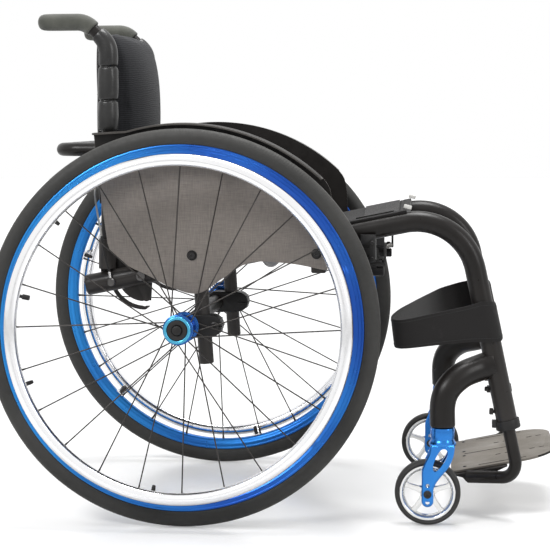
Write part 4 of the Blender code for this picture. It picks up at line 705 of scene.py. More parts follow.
# ---------------------------------------------------------------- repeats made by node trees
class Tree(Nodes):
    """A geometry node tree with named inputs, baked to a plain mesh. Each size is also a field in lower case."""

    def __init__(self, name, **sizes):
        self.tree = bpy.data.node_groups.new(name, "GeometryNodeTree")
        face = self.tree.interface
        self.values = {}
        face.new_socket("Geometry", in_out="INPUT", socket_type="NodeSocketGeometry")
        for key, value in sizes.items():
            kind = "NodeSocketInt" if isinstance(value, int) else "NodeSocketFloat"
            socket = face.new_socket(key.replace("_", " "), in_out="INPUT", socket_type=kind)
            self.values[socket.identifier] = value
        face.new_socket("Geometry", in_out="OUTPUT", socket_type="NodeSocketGeometry")
        enter = self.tree.nodes.new("NodeGroupInput")
        self.leave = self.tree.nodes.new("NodeGroupOutput")
        self.start = enter.outputs[0]
        for key in sizes:
            setattr(self, key.lower(), enter.outputs[key.replace("_", " ")])

    def geo(self, kind, inputs=None, **settings):
        return self.add("GeometryNode" + kind, inputs, **settings).outputs[0]

    def vector(self, x=0.0, y=0.0, z=0.0):
        return self.add("ShaderNodeCombineXYZ", {0: x, 1: y, 2: z}).outputs[0]

    def between(self, operation, *vectors, **others):
        inputs = {**dict(enumerate(vectors)), **others}
        made = self.add("ShaderNodeVectorMath", inputs, operation=operation)
        return made.outputs["Value" if operation == "LENGTH" else "Vector"]

    def facing(self, vector):
        return self.add("FunctionNodeAlignRotationToVector", {"Vector": vector}, axis="Z").outputs[0]

    def lifted(self, shape, height):
        return self.geo("Transform", {"Geometry": shape, "Translation": self.vector(z=height)})

    def repeated(self, points, shape, turn, scale=(1, 1, 1)):
        return self.geo("InstanceOnPoints", {"Points": points, "Instance": shape, "Rotation": turn, "Scale": scale})

    def bake(self, base, geometry):
        self.wire(self.geo("RealizeInstances", {"Geometry": geometry}), self.leave.inputs[0])
        step = base.modifiers.new("repeat", "NODES")
        step.node_group = self.tree
        for identifier, value in self.values.items():
            step[identifier] = value
        return applied(base)


def point_mesh(points, normals):
    """Loose points, each with the direction that a repeated piece takes there."""
    mesh = bpy.data.meshes.new("points")
    mesh.from_pydata([tuple(p) for p in points], [], [])
    facing = mesh.attributes.new("facing", "FLOAT_VECTOR", "POINT")
    for i, n in enumerate(normals):
        facing.data[i].vector = tuple(n)
    return link(mesh, "points")


def spokes():
    """Both flanges' spokes of one wheel, in the wheel's own frame: wire and nipple for each."""
    t = Tree("wheel_spokes", Spokes=12, Wire_Radius=0.00105, Nipple_Radius=0.0021, Nipple_Length=0.013,
             Hub_Radius=0.0215, Rim_Radius=RIM_INNER + 0.0006, Flange=0.028, Sweep=math.radians(30.0),
             Crossing=0.0013)
    index = t.geo("InputIndex")
    line = t.geo("MeshLine", {"Count": t.times(t.spokes, 2.0)}, mode="OFFSET")
    half = t.maths("FLOORED_MODULO", index, 2.0)
    pair = t.maths("FLOOR", t.maths("DIVIDE", index, 2.0))
    turn = t.maths("SUBTRACT", t.times(t.maths("FLOORED_MODULO", pair, 2.0), 2.0), 1.0)
    step = t.maths("DIVIDE", math.tau, t.spokes)
    hub_angle = t.plus(t.times(pair, step), t.times(half, t.times(step, 0.5)))
    rim_angle = t.plus(hub_angle, t.times(turn, t.sweep))
    flange = t.times(t.flange, t.maths("SUBTRACT", 1.0, t.times(half, 2.0)))
    shift = t.times(turn, t.crossing)

    def polar(radius, angle, height):
        return t.vector(t.times(radius, t.maths("COSINE", angle)), t.times(radius, t.maths("SINE", angle)), height)
    hub = polar(t.hub_radius, hub_angle, t.plus(flange, shift))
    rim = polar(t.rim_radius, rim_angle, shift)
    reach = t.between("SUBTRACT", rim, hub)
    middle = t.between("SCALE", t.between("ADD", hub, rim), Scale=0.5)
    drop = t.times(t.nipple_length, -0.5)
    seat = t.between("ADD", rim, t.between("SCALE", t.between("NORMALIZE", reach), Scale=drop))
    wire = t.geo("MeshCylinder", {"Vertices": 8, "Radius": t.wire_radius, "Depth": 1.0})
    nipple = t.geo("MeshCone", {"Vertices": 10, "Radius Top": t.nipple_radius, "Radius Bottom": t.wire_radius,
                                "Depth": t.nipple_length})
    length = t.vector(1.0, 1.0, t.between("LENGTH", reach))
    both = t.add("GeometryNodeJoinGeometry")
    for place, shape, scale in ((middle, wire, length), (seat, t.lifted(nipple, drop), (1, 1, 1))):
        points = t.geo("SetPosition", {"Geometry": line, "Position": place})
        t.wire(t.repeated(points, shape, t.facing(reach), scale), both.inputs[0])
    return t.bake(point_mesh([(0, 0, 0)], [(0, 0, 1)]), both.outputs[0])


def screws(places, facings, radius, height, recess=0.5):
    """Button-head socket screws at the places given."""
    t = Tree("socket_screws", Head_Radius=radius, Head_Height=height, Recess=recess, Taper=0.8, Recess_Lift=0.75)
    head = t.geo("MeshCone", {"Vertices": 24, "Radius Top": t.times(t.head_radius, t.taper),
                              "Radius Bottom": t.head_radius, "Depth": t.head_height})
    width = t.times(t.head_radius, t.recess)
    socket = t.geo("MeshCylinder", {"Vertices": 6, "Radius": width, "Depth": t.head_height})
    socket = t.lifted(socket, t.times(t.head_height, t.recess_lift))
    cut = t.geo("MeshBoolean", {"Mesh 1": head, "Mesh 2": socket}, operation="DIFFERENCE")
    facing = t.geo("InputNamedAttribute", {"Name": "facing"}, data_type="FLOAT_VECTOR")
    return t.bake(point_mesh(places, facings), t.repeated(t.start, cut, t.facing(facing)))


def stitches(points, pitch, radius):
    """A row of thread stitches along a line of points."""
    t = Tree("stitch_row", Pitch=pitch, Thread_Radius=radius, Stitch_Share=0.66)
    curve = t.geo("MeshToCurve", {"Mesh": t.start})
    rows = t.add("GeometryNodeCurveToPoints", {"Curve": curve, "Length": t.pitch}, mode="LENGTH")
    depth = t.times(t.pitch, t.stitch_share)
    thread = t.geo("MeshCylinder", {"Vertices": 6, "Radius": t.thread_radius, "Depth": depth})
    mesh = bpy.data.meshes.new("row")
    mesh.from_pydata([tuple(p) for p in points], [(i, i + 1) for i in range(len(points) - 1)], [])
    return t.bake(link(mesh, "row"), t.repeated(rows.outputs[0], thread, t.facing(rows.outputs["Tangent"])))


def stitch_rows(name, body, lines, pitch=STITCH_PITCH, radius=THREAD_RADIUS):
    rows = [stitches(points, pitch, radius) for points in lines]
    finished(joined(*rows), name, "thread", body, [], "fabric", 60)


# ---------------------------------------------------------------- rear wheels
def revolved(profile, steps=192):
    """Ring about Z with its own map in metres: X runs round the ring, Y is the height of the profile."""
    bm = bmesh.new()
    uv = bm.loops.layers.uv.new("cloth")
    count = len(profile)
    angles = [math.tau * s / steps for s in range(steps)]
    rings = [[bm.verts.new((r * math.cos(a), r * math.sin(a), z)) for r, z in profile] for a in angles]
    for s in range(steps):
        for k in range(count):
            n = (k + 1) % count
            corners = [(s, k), (s + 1, k), (s + 1, n), (s, n)]
            face = bm.faces.new([rings[i % steps][j] for i, j in corners])
            for loop, (i, j) in zip(face.loops, corners):
                loop[uv].uv = (i / steps * math.tau * profile[0][0], profile[j][1])
    return as_object(bm)


def two_sided(knots, radius):
    """Tyre section from one side's (radius, half width) knots, no larger than a radius."""
    run = curve2(knots + [(r, -w) for r, w in reversed(knots)])
    return [(min(r, radius), w) for r, w in run]


HUB_END, FLANGE, WHEEL_TABS = 0.041, 0.028, 6
TAB_TURN, VALVE_TURN = {"r": -100.0, "l": -103.5}, {"r": 169.2, "l": 103.0}  # degrees from +X


def wheel_profiles():
    """(radius, height) points of a wheel's turned pieces, in the wheel's own frame."""
    tyre = two_sided([(TYRE_BASE, 0.0062), (0.2724, 0.0074), (0.2738, 0.0099), (0.279, 0.0121), (0.2845, 0.0125),
                      (0.289, 0.0112), (0.2928, 0.0088), (0.2954, 0.0058), (TYRE_RADIUS, 0.003)], TYRE_RADIUS)
    bed, inner, end = RIM_BED, RIM_INNER, HUB_END
    rim = [(bed + 0.003, 0.0098), (bed + 0.003, 0.008), (bed - 0.0002, 0.0078), (bed - 0.001, 0.004)]
    rim += [(r, -z) for r, z in reversed(rim)]
    wall = [(bed + 0.0008, 0.0104), (bed - 0.0012, 0.0092), (bed - 0.006, 0.0094), (bed - 0.0082, 0.008),
            (inner + 0.0026, 0.0066), (inner, 0.004)]
    rim += [(r, -z) for r, z in wall] + wall[::-1]
    hub = [
        (0.0066, -end), (0.015, -end), (0.0165, -end + 0.0015), (0.0165, -FLANGE - 0.004),
        (0.0185, -FLANGE - 0.0028), (0.022, -FLANGE - 0.0025), (0.0228, -FLANGE - 0.0017),
        (0.0228, -FLANGE + 0.0017), (0.022, -FLANGE + 0.0025), (0.0185, -FLANGE + 0.003), (0.015, -0.018),
        (0.014, 0.0), (0.015, 0.018), (0.0185, FLANGE - 0.003), (0.022, FLANGE - 0.0025),
        (0.0228, FLANGE - 0.0017), (0.0228, FLANGE + 0.0017), (0.0218, FLANGE + 0.0025), (0.018, FLANGE + 0.0032),
        (0.0172, FLANGE + 0.0042), (0.0172, end - 0.0048), (0.015, end - 0.0048), (0.015, end - 0.006),
        (0.0066, end - 0.006),
    ]
    ring = [(0.0154, end - 0.0046), (0.0202, end - 0.0046), (0.0204, end - 0.0014), (0.019, end - 0.0002),
            (0.0166, end - 0.0002), (0.0154, end - 0.001)]
    cap = [(0, end - 0.0056), (0.0148, end - 0.0056), (0.015, end - 0.0018), (0.0144, end - 0.001),
           (0.0092, end - 0.0004), (0.008, end - 0.0009), (0.0076, end - 0.002), (0.0076, end - 0.005),
           (0, end - 0.005)]
    axle = [(0, -0.086), (0.0044, -0.086), (0.0058, -0.085), (0.0063, -0.083), (0.0063, end - 0.0058),
            (0, end - 0.0058)]
    button = [(0, 0.0), (0.0025, 0.0), (0.0025, end - 0.001), (0.007, end - 0.001), (0.007, end + 0.0016),
              (0.0064, end + 0.0026), (0.005, end + 0.0031), (0, end + 0.0035)]
    return tyre, arc_profile(rim, 0.001, 2), hub, arc_profile(ring, 0.0006), cap, axle, button


def handrim_tabs(first):
    """Nuts, tabs and the places and facings of their screws, from the first tab's angle."""
    tabs, nuts, places, facings = [], [], [], []
    outer, wall = RIM_INNER - 0.0004, 0.0022
    for k in range(WHEEL_TABS):
        turn = Matrix.Rotation(math.radians(first) + math.tau * k / WHEEL_TABS, 4, "Z")
        out = turn @ Vector((-1, 0, 0))
        foot = block((outer - wall, -0.007, -0.0058), (outer, 0.007, 0.008))
        leg = block((outer - wall, -0.0055, 0.006), (outer, 0.0055, HANDRIM_OFFSET - 0.0035))
        tabs.append(moved(eased(union(foot, leg), 0.0008, 2), turn))
        places.append(turn @ Vector((outer - wall - 0.001, 0, 0.0)))
        facings.append(out)
        nut = shaft([(0, 0.0), (0.0032, 0.0), (0.0032, 0.008), (0.0027, 0.0128), (0.002, 0.0136), (0, 0.0138)], 16)
        nuts.append(along_axis(nut, turn @ Vector((outer - 0.002, 0, 0.0)), out))
    return joined(*nuts), joined(*tabs), places, facings


def wheel_pieces():
    tyre, rim, hub, ring, cap, axle_shaft, button_head = wheel_profiles()
    for key, side in SIDES.items():
        place = wheel_frame(side)
        wheel, axle, button = (f"{name}_{key}" for name in ("wheel", "axle", "button"))

        def put(thing, name, finish, body, slot, smooth=38.0, node=None):
            nodes = [f"{node}_{key}"] if node else []
            return finished(moved(thing, place), f"{name}_{key}", finish, body, nodes, slot, smooth)
        put(revolved(tyre), "wheel_tyre", "tyre", wheel, "tyre", 70, "tyre")
        put(revolved(rim), "wheel_rim", "rim", wheel, "rim", 45, "rim")
        circle = arc2((HANDRIM_RADIUS, HANDRIM_OFFSET), HANDRIM_TUBE, 0, 360 / 28, 28)
        put(revolved(circle), "push_ring", "handrim", wheel, "handrim", 80, "handrim")
        nuts, tabs, places, facings = handrim_tabs(TAB_TURN[key])
        put(nuts, "tab_nuts", "plug", wheel, "plastic", 40)
        put(tabs, "push_ring_tabs", "handrim", wheel, "handrim", 40)
        put(screws(places, facings, 0.0034, 0.0022), "tab_screws", "screw", wheel, "steel")
        put(spokes(), "wheel_spokes", "spoke", wheel, "steel", 60, "rim")
        put(turned(hub, 48), "wheel_hub", "hub", wheel, "blue", 30, "hub")
        put(turned(ring, 48), "hub_end_ring", "ring", wheel, "blue", 50)
        put(shaft(cap, 48), "hub_cap", "plastic", axle, "plastic", 30, "quick_axle")
        put(shaft(axle_shaft, 32), "axle_shaft", "steel", axle, "steel", 30, "quick_axle")
        put(shaft(button_head, 32), "hub_button", "plastic", button, "plastic", 30, "axle_button")
        out = Vector((*on_circle((0, 0), 1, VALVE_TURN[key]), 0))
        stem = shaft([(0, 0.0), (0.0034, 0.0), (0.0034, 0.0022), (0.0026, 0.0026), (0.0026, 0.01), (0.004, 0.0108),
                      (0.004, 0.02), (0.0034, 0.0215), (0, 0.0215)], 20)
        put(along_axis(stem, out * (RIM_INNER - 0.0002), -out), "tyre_valve", "plug", wheel, "plastic", 35)


# ---------------------------------------------------------------- frame
def end_plug(centre, outward, radius, depth=0.0028):
    neck, edge = radius - 0.003, radius - 0.0004
    profile = [(0, -0.004), (neck, -0.004), (neck, 0.0), (edge, 0.0), (edge, depth * 0.5), (radius - 0.0018, depth),
               (0, depth + 0.0004)]
    return along_axis(shaft(profile, 32), centre, outward)


FRAME_FOOT = Vector((leg_line(LEG_END), -FRAME_HALF, LEG_END))


def frame_tube():
    """The bent side tube with the lugs of the side guard, and the plug in its rear end."""
    corner = (SEAT_CORNER[0], -FRAME_HALF, SEAT_CORNER[1])
    rear = (SEAT_REAR[0], -FRAME_HALF, SEAT_REAR[1])
    body = tube(rounded_path([rear, corner, FRAME_FOOT], [0.09], 22), FRAME_TUBE, 40)
    (rear_x, rear_z), (front_x, _) = GUARD_SCREWS
    out, face = -FRAME_HALF - 0.011, -GUARD_FACE + 0.0003
    lugs = []
    for (x0, z0), (x1, z1) in (((rear_x - 0.009, seat_line(rear_x) + 0.004), (rear_x + 0.009, rear_z + 0.008)),
                               ((0.1905, 0.3755), (0.213, seat_line(front_x) - 0.004))):
        lugs.append(eased(block((x0, out, z0), (x1, face, z1)), 0.003, 3))
    body = minus(union(body, *lugs), rod(FRAME_FOOT + LEG_DOWN * 0.01, FRAME_FOOT - LEG_DOWN * 0.15, 0.01),
                 cross_rod(PIVOT, 0.13, 0.2, 0.0053), cross_rod(on_hinge(), 0.13, 0.2, 0.0034, 16))
    along = Vector((1, 0, SEAT_SLOPE)).normalized()
    return body, end_plug(Vector(rear) - along * FIT, -along, FRAME_TUBE, 0.003)


def seat_cross_tube():
    x, drop = 0.12, 0.0208
    height = seat_line(x)
    reach, bend = FRAME_HALF - 0.004, FRAME_HALF - 0.075
    corners = [(x, -reach, height), (x, -bend, height - drop), (x, bend, height - drop), (x, reach, height)]
    cross = tube(rounded_path(corners, [0.05, 0.05], 8), 0.0125, 28)
    finished(minus(cross, *[seat_tube_cutter(s) for s in (-1, 1)]), "seat_cross_tube", "frame", "root",
             ["cross_tube"], "frame")


def axle_post():
    """Post under the side tube with its plug, and the clamp that holds the camber tube with its bolt."""
    radius, bolt_x, bolt_z, half = 0.0113, 0.0385, 0.2945, 0.0155
    foot, head = Vector((0.0293, -POST_HALF, 0.2375)), Vector((0.0205, -POST_HALF, 0.375))
    upward = (head - foot).normalized()
    above = block((-0.1, -FRAME_HALF - 0.1, seat_line(0.0205)), (0.2, 0, 0.5))
    post = minus(rod(foot, head + upward * 0.02, radius, 36), seat_tube_cutter(), above)
    plug = end_plug(foot + upward * 0.0003, -upward, radius, 0.0022)
    camber_at = (0, axle_line(POST_HALF))
    outline = arc2((bolt_x, bolt_z), 0.0165, -90, 10, 19) + arc2(camber_at, 0.018, 90, 10, 19)
    clamp = eased(slab(outline, POST_HALF - half, POST_HALF + half), 0.0018, 3)
    clamp = minus(clamp, rod(foot, head, 0.0115, 36), cross_rod(camber_at, 0.1, 0.3, 0.0127, 36),
                  block((0.04, -0.2, 0.2934), (0.07, -0.1, 0.2948)))
    ridges = [cross_rod(place, POST_HALF + 0.013, POST_HALF - 0.013, 0.0016, 12)
              for place in arc2((bolt_x, bolt_z), 0.016, -35, 35, 3)]
    bolt = socket_bolt(-0.006, 0.0008, 0.0014, -0.002, 0.0062, 0.0054, 0.0036, 0.0034)
    return post, plug, union(clamp, *ridges), along_axis(bolt, (0.044, -POST_HALF - half, bolt_z), (0, -1, 0))


def camber_tube():
    end, height = 0.1865, axle_line(POST_HALF)
    bores = []
    for side in (-1, 1):
        outward = Vector((0, side * math.cos(CAMBER), math.sin(CAMBER)))
        centre = Vector((0, side * TRACK_HALF, HUB_HEIGHT))
        bores.append(rod(centre - outward * (TRACK_HALF - end - 0.01), centre - outward * 0.088, 0.0069, 28))
    camber = eased(rod((0, -end, height), (0, end, height), 0.0125, 36), 0.0008, 2)
    finished(minus(camber, *bores), "axle_camber_tube", "frame", "root", ["camber_tube"], "frame")


def caster_arm():
    """Cast arm from the leg to the upright housing of the caster, bored for the stem and its bearings."""
    height, thick, thin = 0.24, 0.0188, 0.0205
    root = Vector((leg_line(height), -FRAME_HALF, height))
    knots = [root, (0.443, -0.17, 0.233), (0.417, -0.186, 0.224), (0.3965, -0.197, 0.206),
             (SWIVEL_X, -CASTER_HALF, 0.183), (SWIVEL_X, -CASTER_HALF, 0.149)]
    points = smooth_path(knots, 6)
    count = len(points) - 1
    scales = [1 + (thin / thick - 1) * (1 - i / count) for i in range(count + 1)]
    arm = eased(tube(points, thick, 40, scales), 0.0014, 3, 50)
    front = block((root.x, -0.3, 0.1), (0.6, 0, 0.3))
    moved(front, Matrix.Translation(root) @ Matrix.Rotation(math.atan(LEG_LEAN), 4, "Y") @ Matrix.Translation(-root))
    stem, seat = 0.0054, 0.012
    bore = shaft([(0, 0.139), (stem, 0.139), (stem, 0.157), (seat, 0.157), (seat, 0.183), (stem, 0.183),
                  (stem, 0.191), (0, 0.191)], 32)
    centre = Vector((leg_line(0.4), -FRAME_HALF, 0.4))
    return minus(arm, rod(centre, centre + LEG_DOWN * 0.3, FRAME_TUBE + FIT, 40), front,
                 shifted(bore, SWIVEL_X, -CASTER_HALF, 0))


def leg_fittings():
    """Clamp collar at the foot of the leg with its two ears, and the knobs above it."""
    height, bore, half = 0.1475, 0.0101, 0.00775
    place = Vector((leg_line(height), -FRAME_HALF, height))
    step = (FRAME_FOOT - place).dot(LEG_DOWN) + 0.0003
    profile = [(0.0161, -0.00675), (0.0186, -0.00675), (0.0186, 0.0062), (0.017, half), (bore, half), (bore, step),
               (0.0161, step)]
    collar = along_axis(turned(arc_profile(profile, 0.0006, 2), 48), place, LEG_DOWN)
    collar = minus(collar, block((place.x - 0.025, -FRAME_HALF - 0.0006, 0.12),
                                 (place.x - 0.005, -FRAME_HALF + 0.0006, 0.17)))
    low, high = place.x - 0.0235, place.x - 0.016
    ears = [block((low, -FRAME_HALF + near, 0.142), (high, -FRAME_HALF + far, 0.153))
            for near, far in ((0.0012, 0.0065), (-0.0065, -0.0012))]
    knobs = []
    for height, radius in ((0.166, 0.005), (0.2, 0.0036)):
        start = Vector((leg_line(height), -FRAME_HALF, height)) - Vector((FRAME_TUBE - 0.001, 0, 0))
        neck = radius * 0.55
        profile = [(0, -0.002), (neck, -0.002), (neck, 0.0026), (radius, 0.0032), (radius, 0.0078),
                   (radius * 0.8, 0.0088), (0, 0.009)]
        knobs.append(along_axis(shaft(profile, 18), start, (-1, 0, LEG_LEAN * -0.2)))
    return collar, eased(union(*ears), 0.0008), joined(*knobs)


def frame_pieces():
    body, rear_plug = frame_tube()
    seat_cross_tube()
    post, post_plug, clamp, bolt = axle_post()
    camber_tube()
    arm = caster_arm()
    collar, ears, knobs = leg_fittings()
    for thing, name, finish, nodes, slot in (
        (body, "frame_tube", "frame", ["side_tube"], "frame"), (post, "post", "frame", ["axle_post"], "frame"),
        (clamp, "clamp", "plastic", ["axle_clamp"], "plastic"), (arm, "arm", "frame", ["caster_arm"], "frame"),
        (collar, "collar", "plastic", ["footrest_collar"], "plastic"),
        (rear_plug, "rear_plug", "plug", [], "plastic"), (post_plug, "post_plug", "plug", [], "plastic"),
        (bolt, "clamp_bolt", "screw", [], "steel"),
        (ears, "collar_ears", "plastic", [], "plastic"), (knobs, "leg_knobs", "plug", [], "plastic"),
    ):
        both_sides(thing, name, finish, "root", nodes, slot)


# ---------------------------------------------------------------- casters
def fork_body():
    foot, toe, toe_radius, fit, wall = 0.121, 0.0385, 0.0088, 0.01425, 0.0055
    crown = shaft([
        (0, foot - 0.001), (0.0195, foot - 0.001), (0.0205, foot), (0.0205, foot + 0.0032), (0.0195, foot + 0.0042),
        (0.0174, foot + 0.0075), (0.017, 0.13), (0.018, 0.133), (0.018, 0.144), (0.0172, 0.147),
        (0.015, 0.1482), (0.005, 0.1482), (0.005, 0.1895), (0, 0.1895)], 48)
    body = shifted(crown, SWIVEL_X, -CASTER_HALF, 0)
    swivel, axle = SWIVEL_X, CASTER_X
    rear = [(swivel - 0.0175, foot + 0.002), (swivel - 0.02, 0.11), (axle - 0.0078, 0.087),
            (axle - 0.0086, 0.07), (axle - toe_radius, 0.056), (axle - toe_radius, toe)]
    front = [(axle + toe_radius, toe), (axle + toe_radius, 0.056), (axle + 0.0125, 0.0655), (axle + 0.02, 0.076),
             (swivel + 0.009, 0.09), (swivel + 0.016, 0.106), (swivel + 0.0185, foot + 0.002)]
    outline = curve2(rear) + arc2((axle, toe), toe_radius, 198, 18, 9) + curve2(front)
    window = curve2([(swivel + x, z) for x, z in (
        (-0.002, 0.1165), (-0.009, 0.106), (-0.0135, 0.094), (-0.0135, 0.0855), (-0.0095, 0.0838),
        (-0.003, 0.09), (0.0045, 0.101), (0.0078, 0.111), (0.005, 0.117))], 4, True)
    for low in (CASTER_HALF - fit - wall, CASTER_HALF + fit):
        body = union(body, eased(slab(outline, low, low + wall), 0.0019, 1))
    holes = [cross_rod((axle, CASTER_Z + up), 0.15, 0.25, 0.0032) for up in (-0.013, 0.013)]
    return minus(body, slab(window, CASTER_HALF - 0.05, CASTER_HALF + 0.05), *holes)


def caster_wheel():
    radius, spokes_each, thick = 0.0492, 5, 0.0042
    base = radius - 0.0072
    outer = base - 0.0003
    tyre = turned(two_sided([(base, 0.009), (base + 0.0018, 0.0108), (radius - 0.0038, 0.0114),
                             (radius - 0.0014, 0.0092), (radius - 0.0002, 0.0056), (radius, 0.002)], radius), 96)
    band = [(outer, 0.0095), (outer, -0.0095), (outer - 0.003, -0.0095), (outer - 0.0068, -0.006),
            (outer - 0.0068, 0.006), (outer - 0.003, 0.0095)]
    barrel = [(0.0043, -0.013), (0.009, -0.013), (0.0105, -0.011), (0.0105, 0.011), (0.009, 0.013),
              (0.0043, 0.013)]
    rim = union(turned(arc_profile(band, 0.0008), 96), turned(arc_profile(barrel, 0.0006), 48))
    inner, reach = 0.0085, outer - 0.0055
    edge = [(inner, -0.0062), (inner + 0.008, -0.004), (reach - 0.006, -0.0034), (reach, -0.0052)]
    edge += [(x, -z) for x, z in reversed(edge)]
    for k in range(spokes_each):
        spoke = slab(edge, -thick, thick, 1)
        turn = Matrix.Rotation(math.tau * k / spokes_each + math.pi / 2, 4, "Z")
        rim = union(rim, eased(moved(spoke, turn @ Matrix.Rotation(math.pi / 2, 4, "X")), 0.0009, 2))
    return [along_axis(part, (CASTER_X, -CASTER_HALF, CASTER_Z), (0, -1, 0)) for part in (tyre, rim)]


def caster_pieces():
    body = fork_body()
    bolts = []
    for side in (-1, 1):
        bolt = socket_bolt(-0.001, 0.002, 0.003, 0.0012, 0.006, 0.005, 0.003, 0.0028)
        bolts.append(along_axis(bolt, (CASTER_X, -CASTER_HALF + side * 0.01965, CASTER_Z), (0, side, 0)))
    pin = cross_rod((CASTER_X, CASTER_Z), CASTER_HALF + 0.0195, CASTER_HALF - 0.0195, 0.004, 24)
    tyre, rim = caster_wheel()
    for thing, name, finish, body_name, nodes, slot, smooth in (
        (body, "fork", "blue", "caster_", ["caster_fork"], "blue", 32),
        (joined(*bolts), "fork_bolts", "screw", "caster_", [], "steel", 30),
        (pin, "fork_axle", "steel", "caster_", [], "steel", 30),
        (tyre, "small_tyre", "caster_tyre", "caster_wheel_", ["caster_tyre"], "tyre", 60),
        (rim, "small_rim", "caster_rim", "caster_wheel_", ["caster_rim"], "handrim", 32),
    ):
        both_sides(thing, name, finish, body_name, nodes, slot, smooth)


# ---------------------------------------------------------------- footrest
PLATE_LENGTH, PLATE_HALF, PLATE_WALL = 0.163, 0.117, 0.004
PLATE_BACK_CORNER, PLATE_FRONT_CORNER = 0.012, 0.055
PLATE_SLOTS = (0.0707, 0.0857, 0.1007, 0.1247, 0.1397)
PLATE_GROOVES = ((0.0, 0.0217, 0.0927), (-0.104, 0.0427, 0.1177), (0.104, 0.0427, 0.1177))
PLATE_SCREWS = [(0.0217, y) for y in (-0.017, 0.017, -0.1, 0.1)]


def plate_under(x):
    """Height of the footplate's underside."""
    middle = PLATE_REAR[1] + (x - PLATE_REAR[0]) * math.tan(PLATE_TILT)
    return middle - PLATE_WALL / math.cos(PLATE_TILT) - 0.0003


def foot_tube():
    corners = [(leg_line(z), -FRAME_HALF, z) for z in (0.24, 0.0655)] + [(0.4275, -0.126, 0.0573)]
    start, end = PLATE_REAR[0] + 0.002, 0.487
    outline = [(start, plate_under(start)), (0.419, 0.056), (0.424, 0.05), (0.432, 0.0478), (0.446, 0.0478),
               (0.453, 0.052), (0.461, 0.062), (end, plate_under(end) - 0.0014), (end, plate_under(end))]
    bracket = eased(slab(outline, PLATE_HALF - 0.017, 0.126 + 0.0015), 0.001, 2)
    body = union(tube(rounded_path(corners, [0.0255], 14), 0.0095, 32), bracket)
    both_sides(body, "foot_tube", "frame", "footrest", ["footrest_tube"], "frame")


def slot_cutter(low, high, y, half, bottom=-0.01, top=0.01):
    """Cutter for a slot with round ends, as (x, y) round the plate's own frame."""
    ends = arc2((high - half, y), half, -90, 30, 7) + arc2((low + half, y), half, 90, 30, 7)
    return prism([(x, y, bottom) for x, y in ends], (0, 0, top - bottom))


def footrest_pieces():
    foot_tube()
    corner, rear = PLATE_FRONT_CORNER, PLATE_BACK_CORNER
    outline = arc2((rear, -PLATE_HALF + rear), rear, 180, 7.5, 13)
    outline += arc2((PLATE_LENGTH - corner, -PLATE_HALF + corner), corner, 270, 7.5, 13)
    outline += [(x, -y) for x, y in reversed(outline)]
    plate = eased(prism([(x, y, 0) for x, y in outline], (0, 0, -PLATE_WALL)), 0.0008, 3)
    cutters = [slot_cutter(x, x + 0.009, y, 0.002) for y in (-0.048, 0.048) for x in PLATE_SLOTS]
    cutters += [slot_cutter(low, high, y, 0.0017, -0.0022) for y, low, high in PLATE_GROOVES]
    plate = minus(plate, *cutters, *[rod((x, y, -0.01), (x, y, 0.01), 0.0022, 16) for x, y in PLATE_SCREWS])
    # slot walls and groove floors get the dark coat, painted shade in the slots and grooves
    painted_shade_faces = []
    for face in plate.data.polygons:
        x, y, z = face.center
        inside = 0.006 < x < PLATE_LENGTH - 0.006 and abs(y) < PLATE_HALF - 0.006
        if inside and (abs(face.normal.z) < 0.5 or -0.0026 < z < -0.0018):
            painted_shade_faces.append(face.index)
    tilt = Matrix.Translation((PLATE_REAR[0], 0, PLATE_REAR[1])) @ Matrix.Rotation(-PLATE_TILT, 4, "Y")
    finished(moved(plate, tilt), "foot_plate", "plate", "footrest", ["footplate"], "plate", 30)
    plate.data.materials.append(LOOK["recess"])
    for index in painted_shade_faces:
        plate.data.polygons[index].material_index = 1
    up = tilt.to_3x3() @ Vector((0, 0, 1))
    places = [tilt @ Vector((x, y, 0.0)) - up * 0.0006 for x, y in PLATE_SCREWS]
    heads = screws(places, [up] * len(places), 0.003, 0.0016)
    finished(heads, "plate_screws", "screw", "footrest", [], "steel")


# ---------------------------------------------------------------- side guards
def guard_lip(top):
    """The lip over the tyre: a section that rises from the guard's tail and narrows at its front end."""
    stations = []
    tail, first = Vector((-0.1372, 0, 0.5862)), Vector((top[0][0], 0, top[0][1]))
    for k in range(8):
        t = k / 8
        stations.append((tail.lerp(first, t), Vector((-0.058 - 0.12 * t, 0, 0.998)).normalized(), 0.45 + 0.55 * t))
    for k in range(73):
        (x, z), (out_x, out_z) = (on_circle(c, r, LIP_START - LIP_SPAN * k / 72)
                                  for c, r in (((0, HUB_HEIGHT), LIP_RADIUS), ((0, 0), 1)))
        width = 1.0 - 0.4 * max(0.0, (k / 72 - 0.8) / 0.2) ** 2
        stations.append((Vector((x, 0, z)), Vector((out_x, 0, out_z)), width))
    bm = bmesh.new()
    rings = []
    section = [(0.0000, 0.0004), (0.0012, 0.0000), (0.027, 0.0000), (0.029, -0.001), (0.029, -0.003),
               (0.0268, -0.0024), (0.003, -0.0022), (0.001, -0.0045), (0.0000, -0.0045)]
    for place, out, width in stations:
        ring = []
        for across, deep in section:
            p = place + out * deep
            ring.append(bm.verts.new((p.x, -(GUARD_FACE + 0.0001 + across * width), p.z)))
        rings.append(ring)
    return skinned(bm, rings)


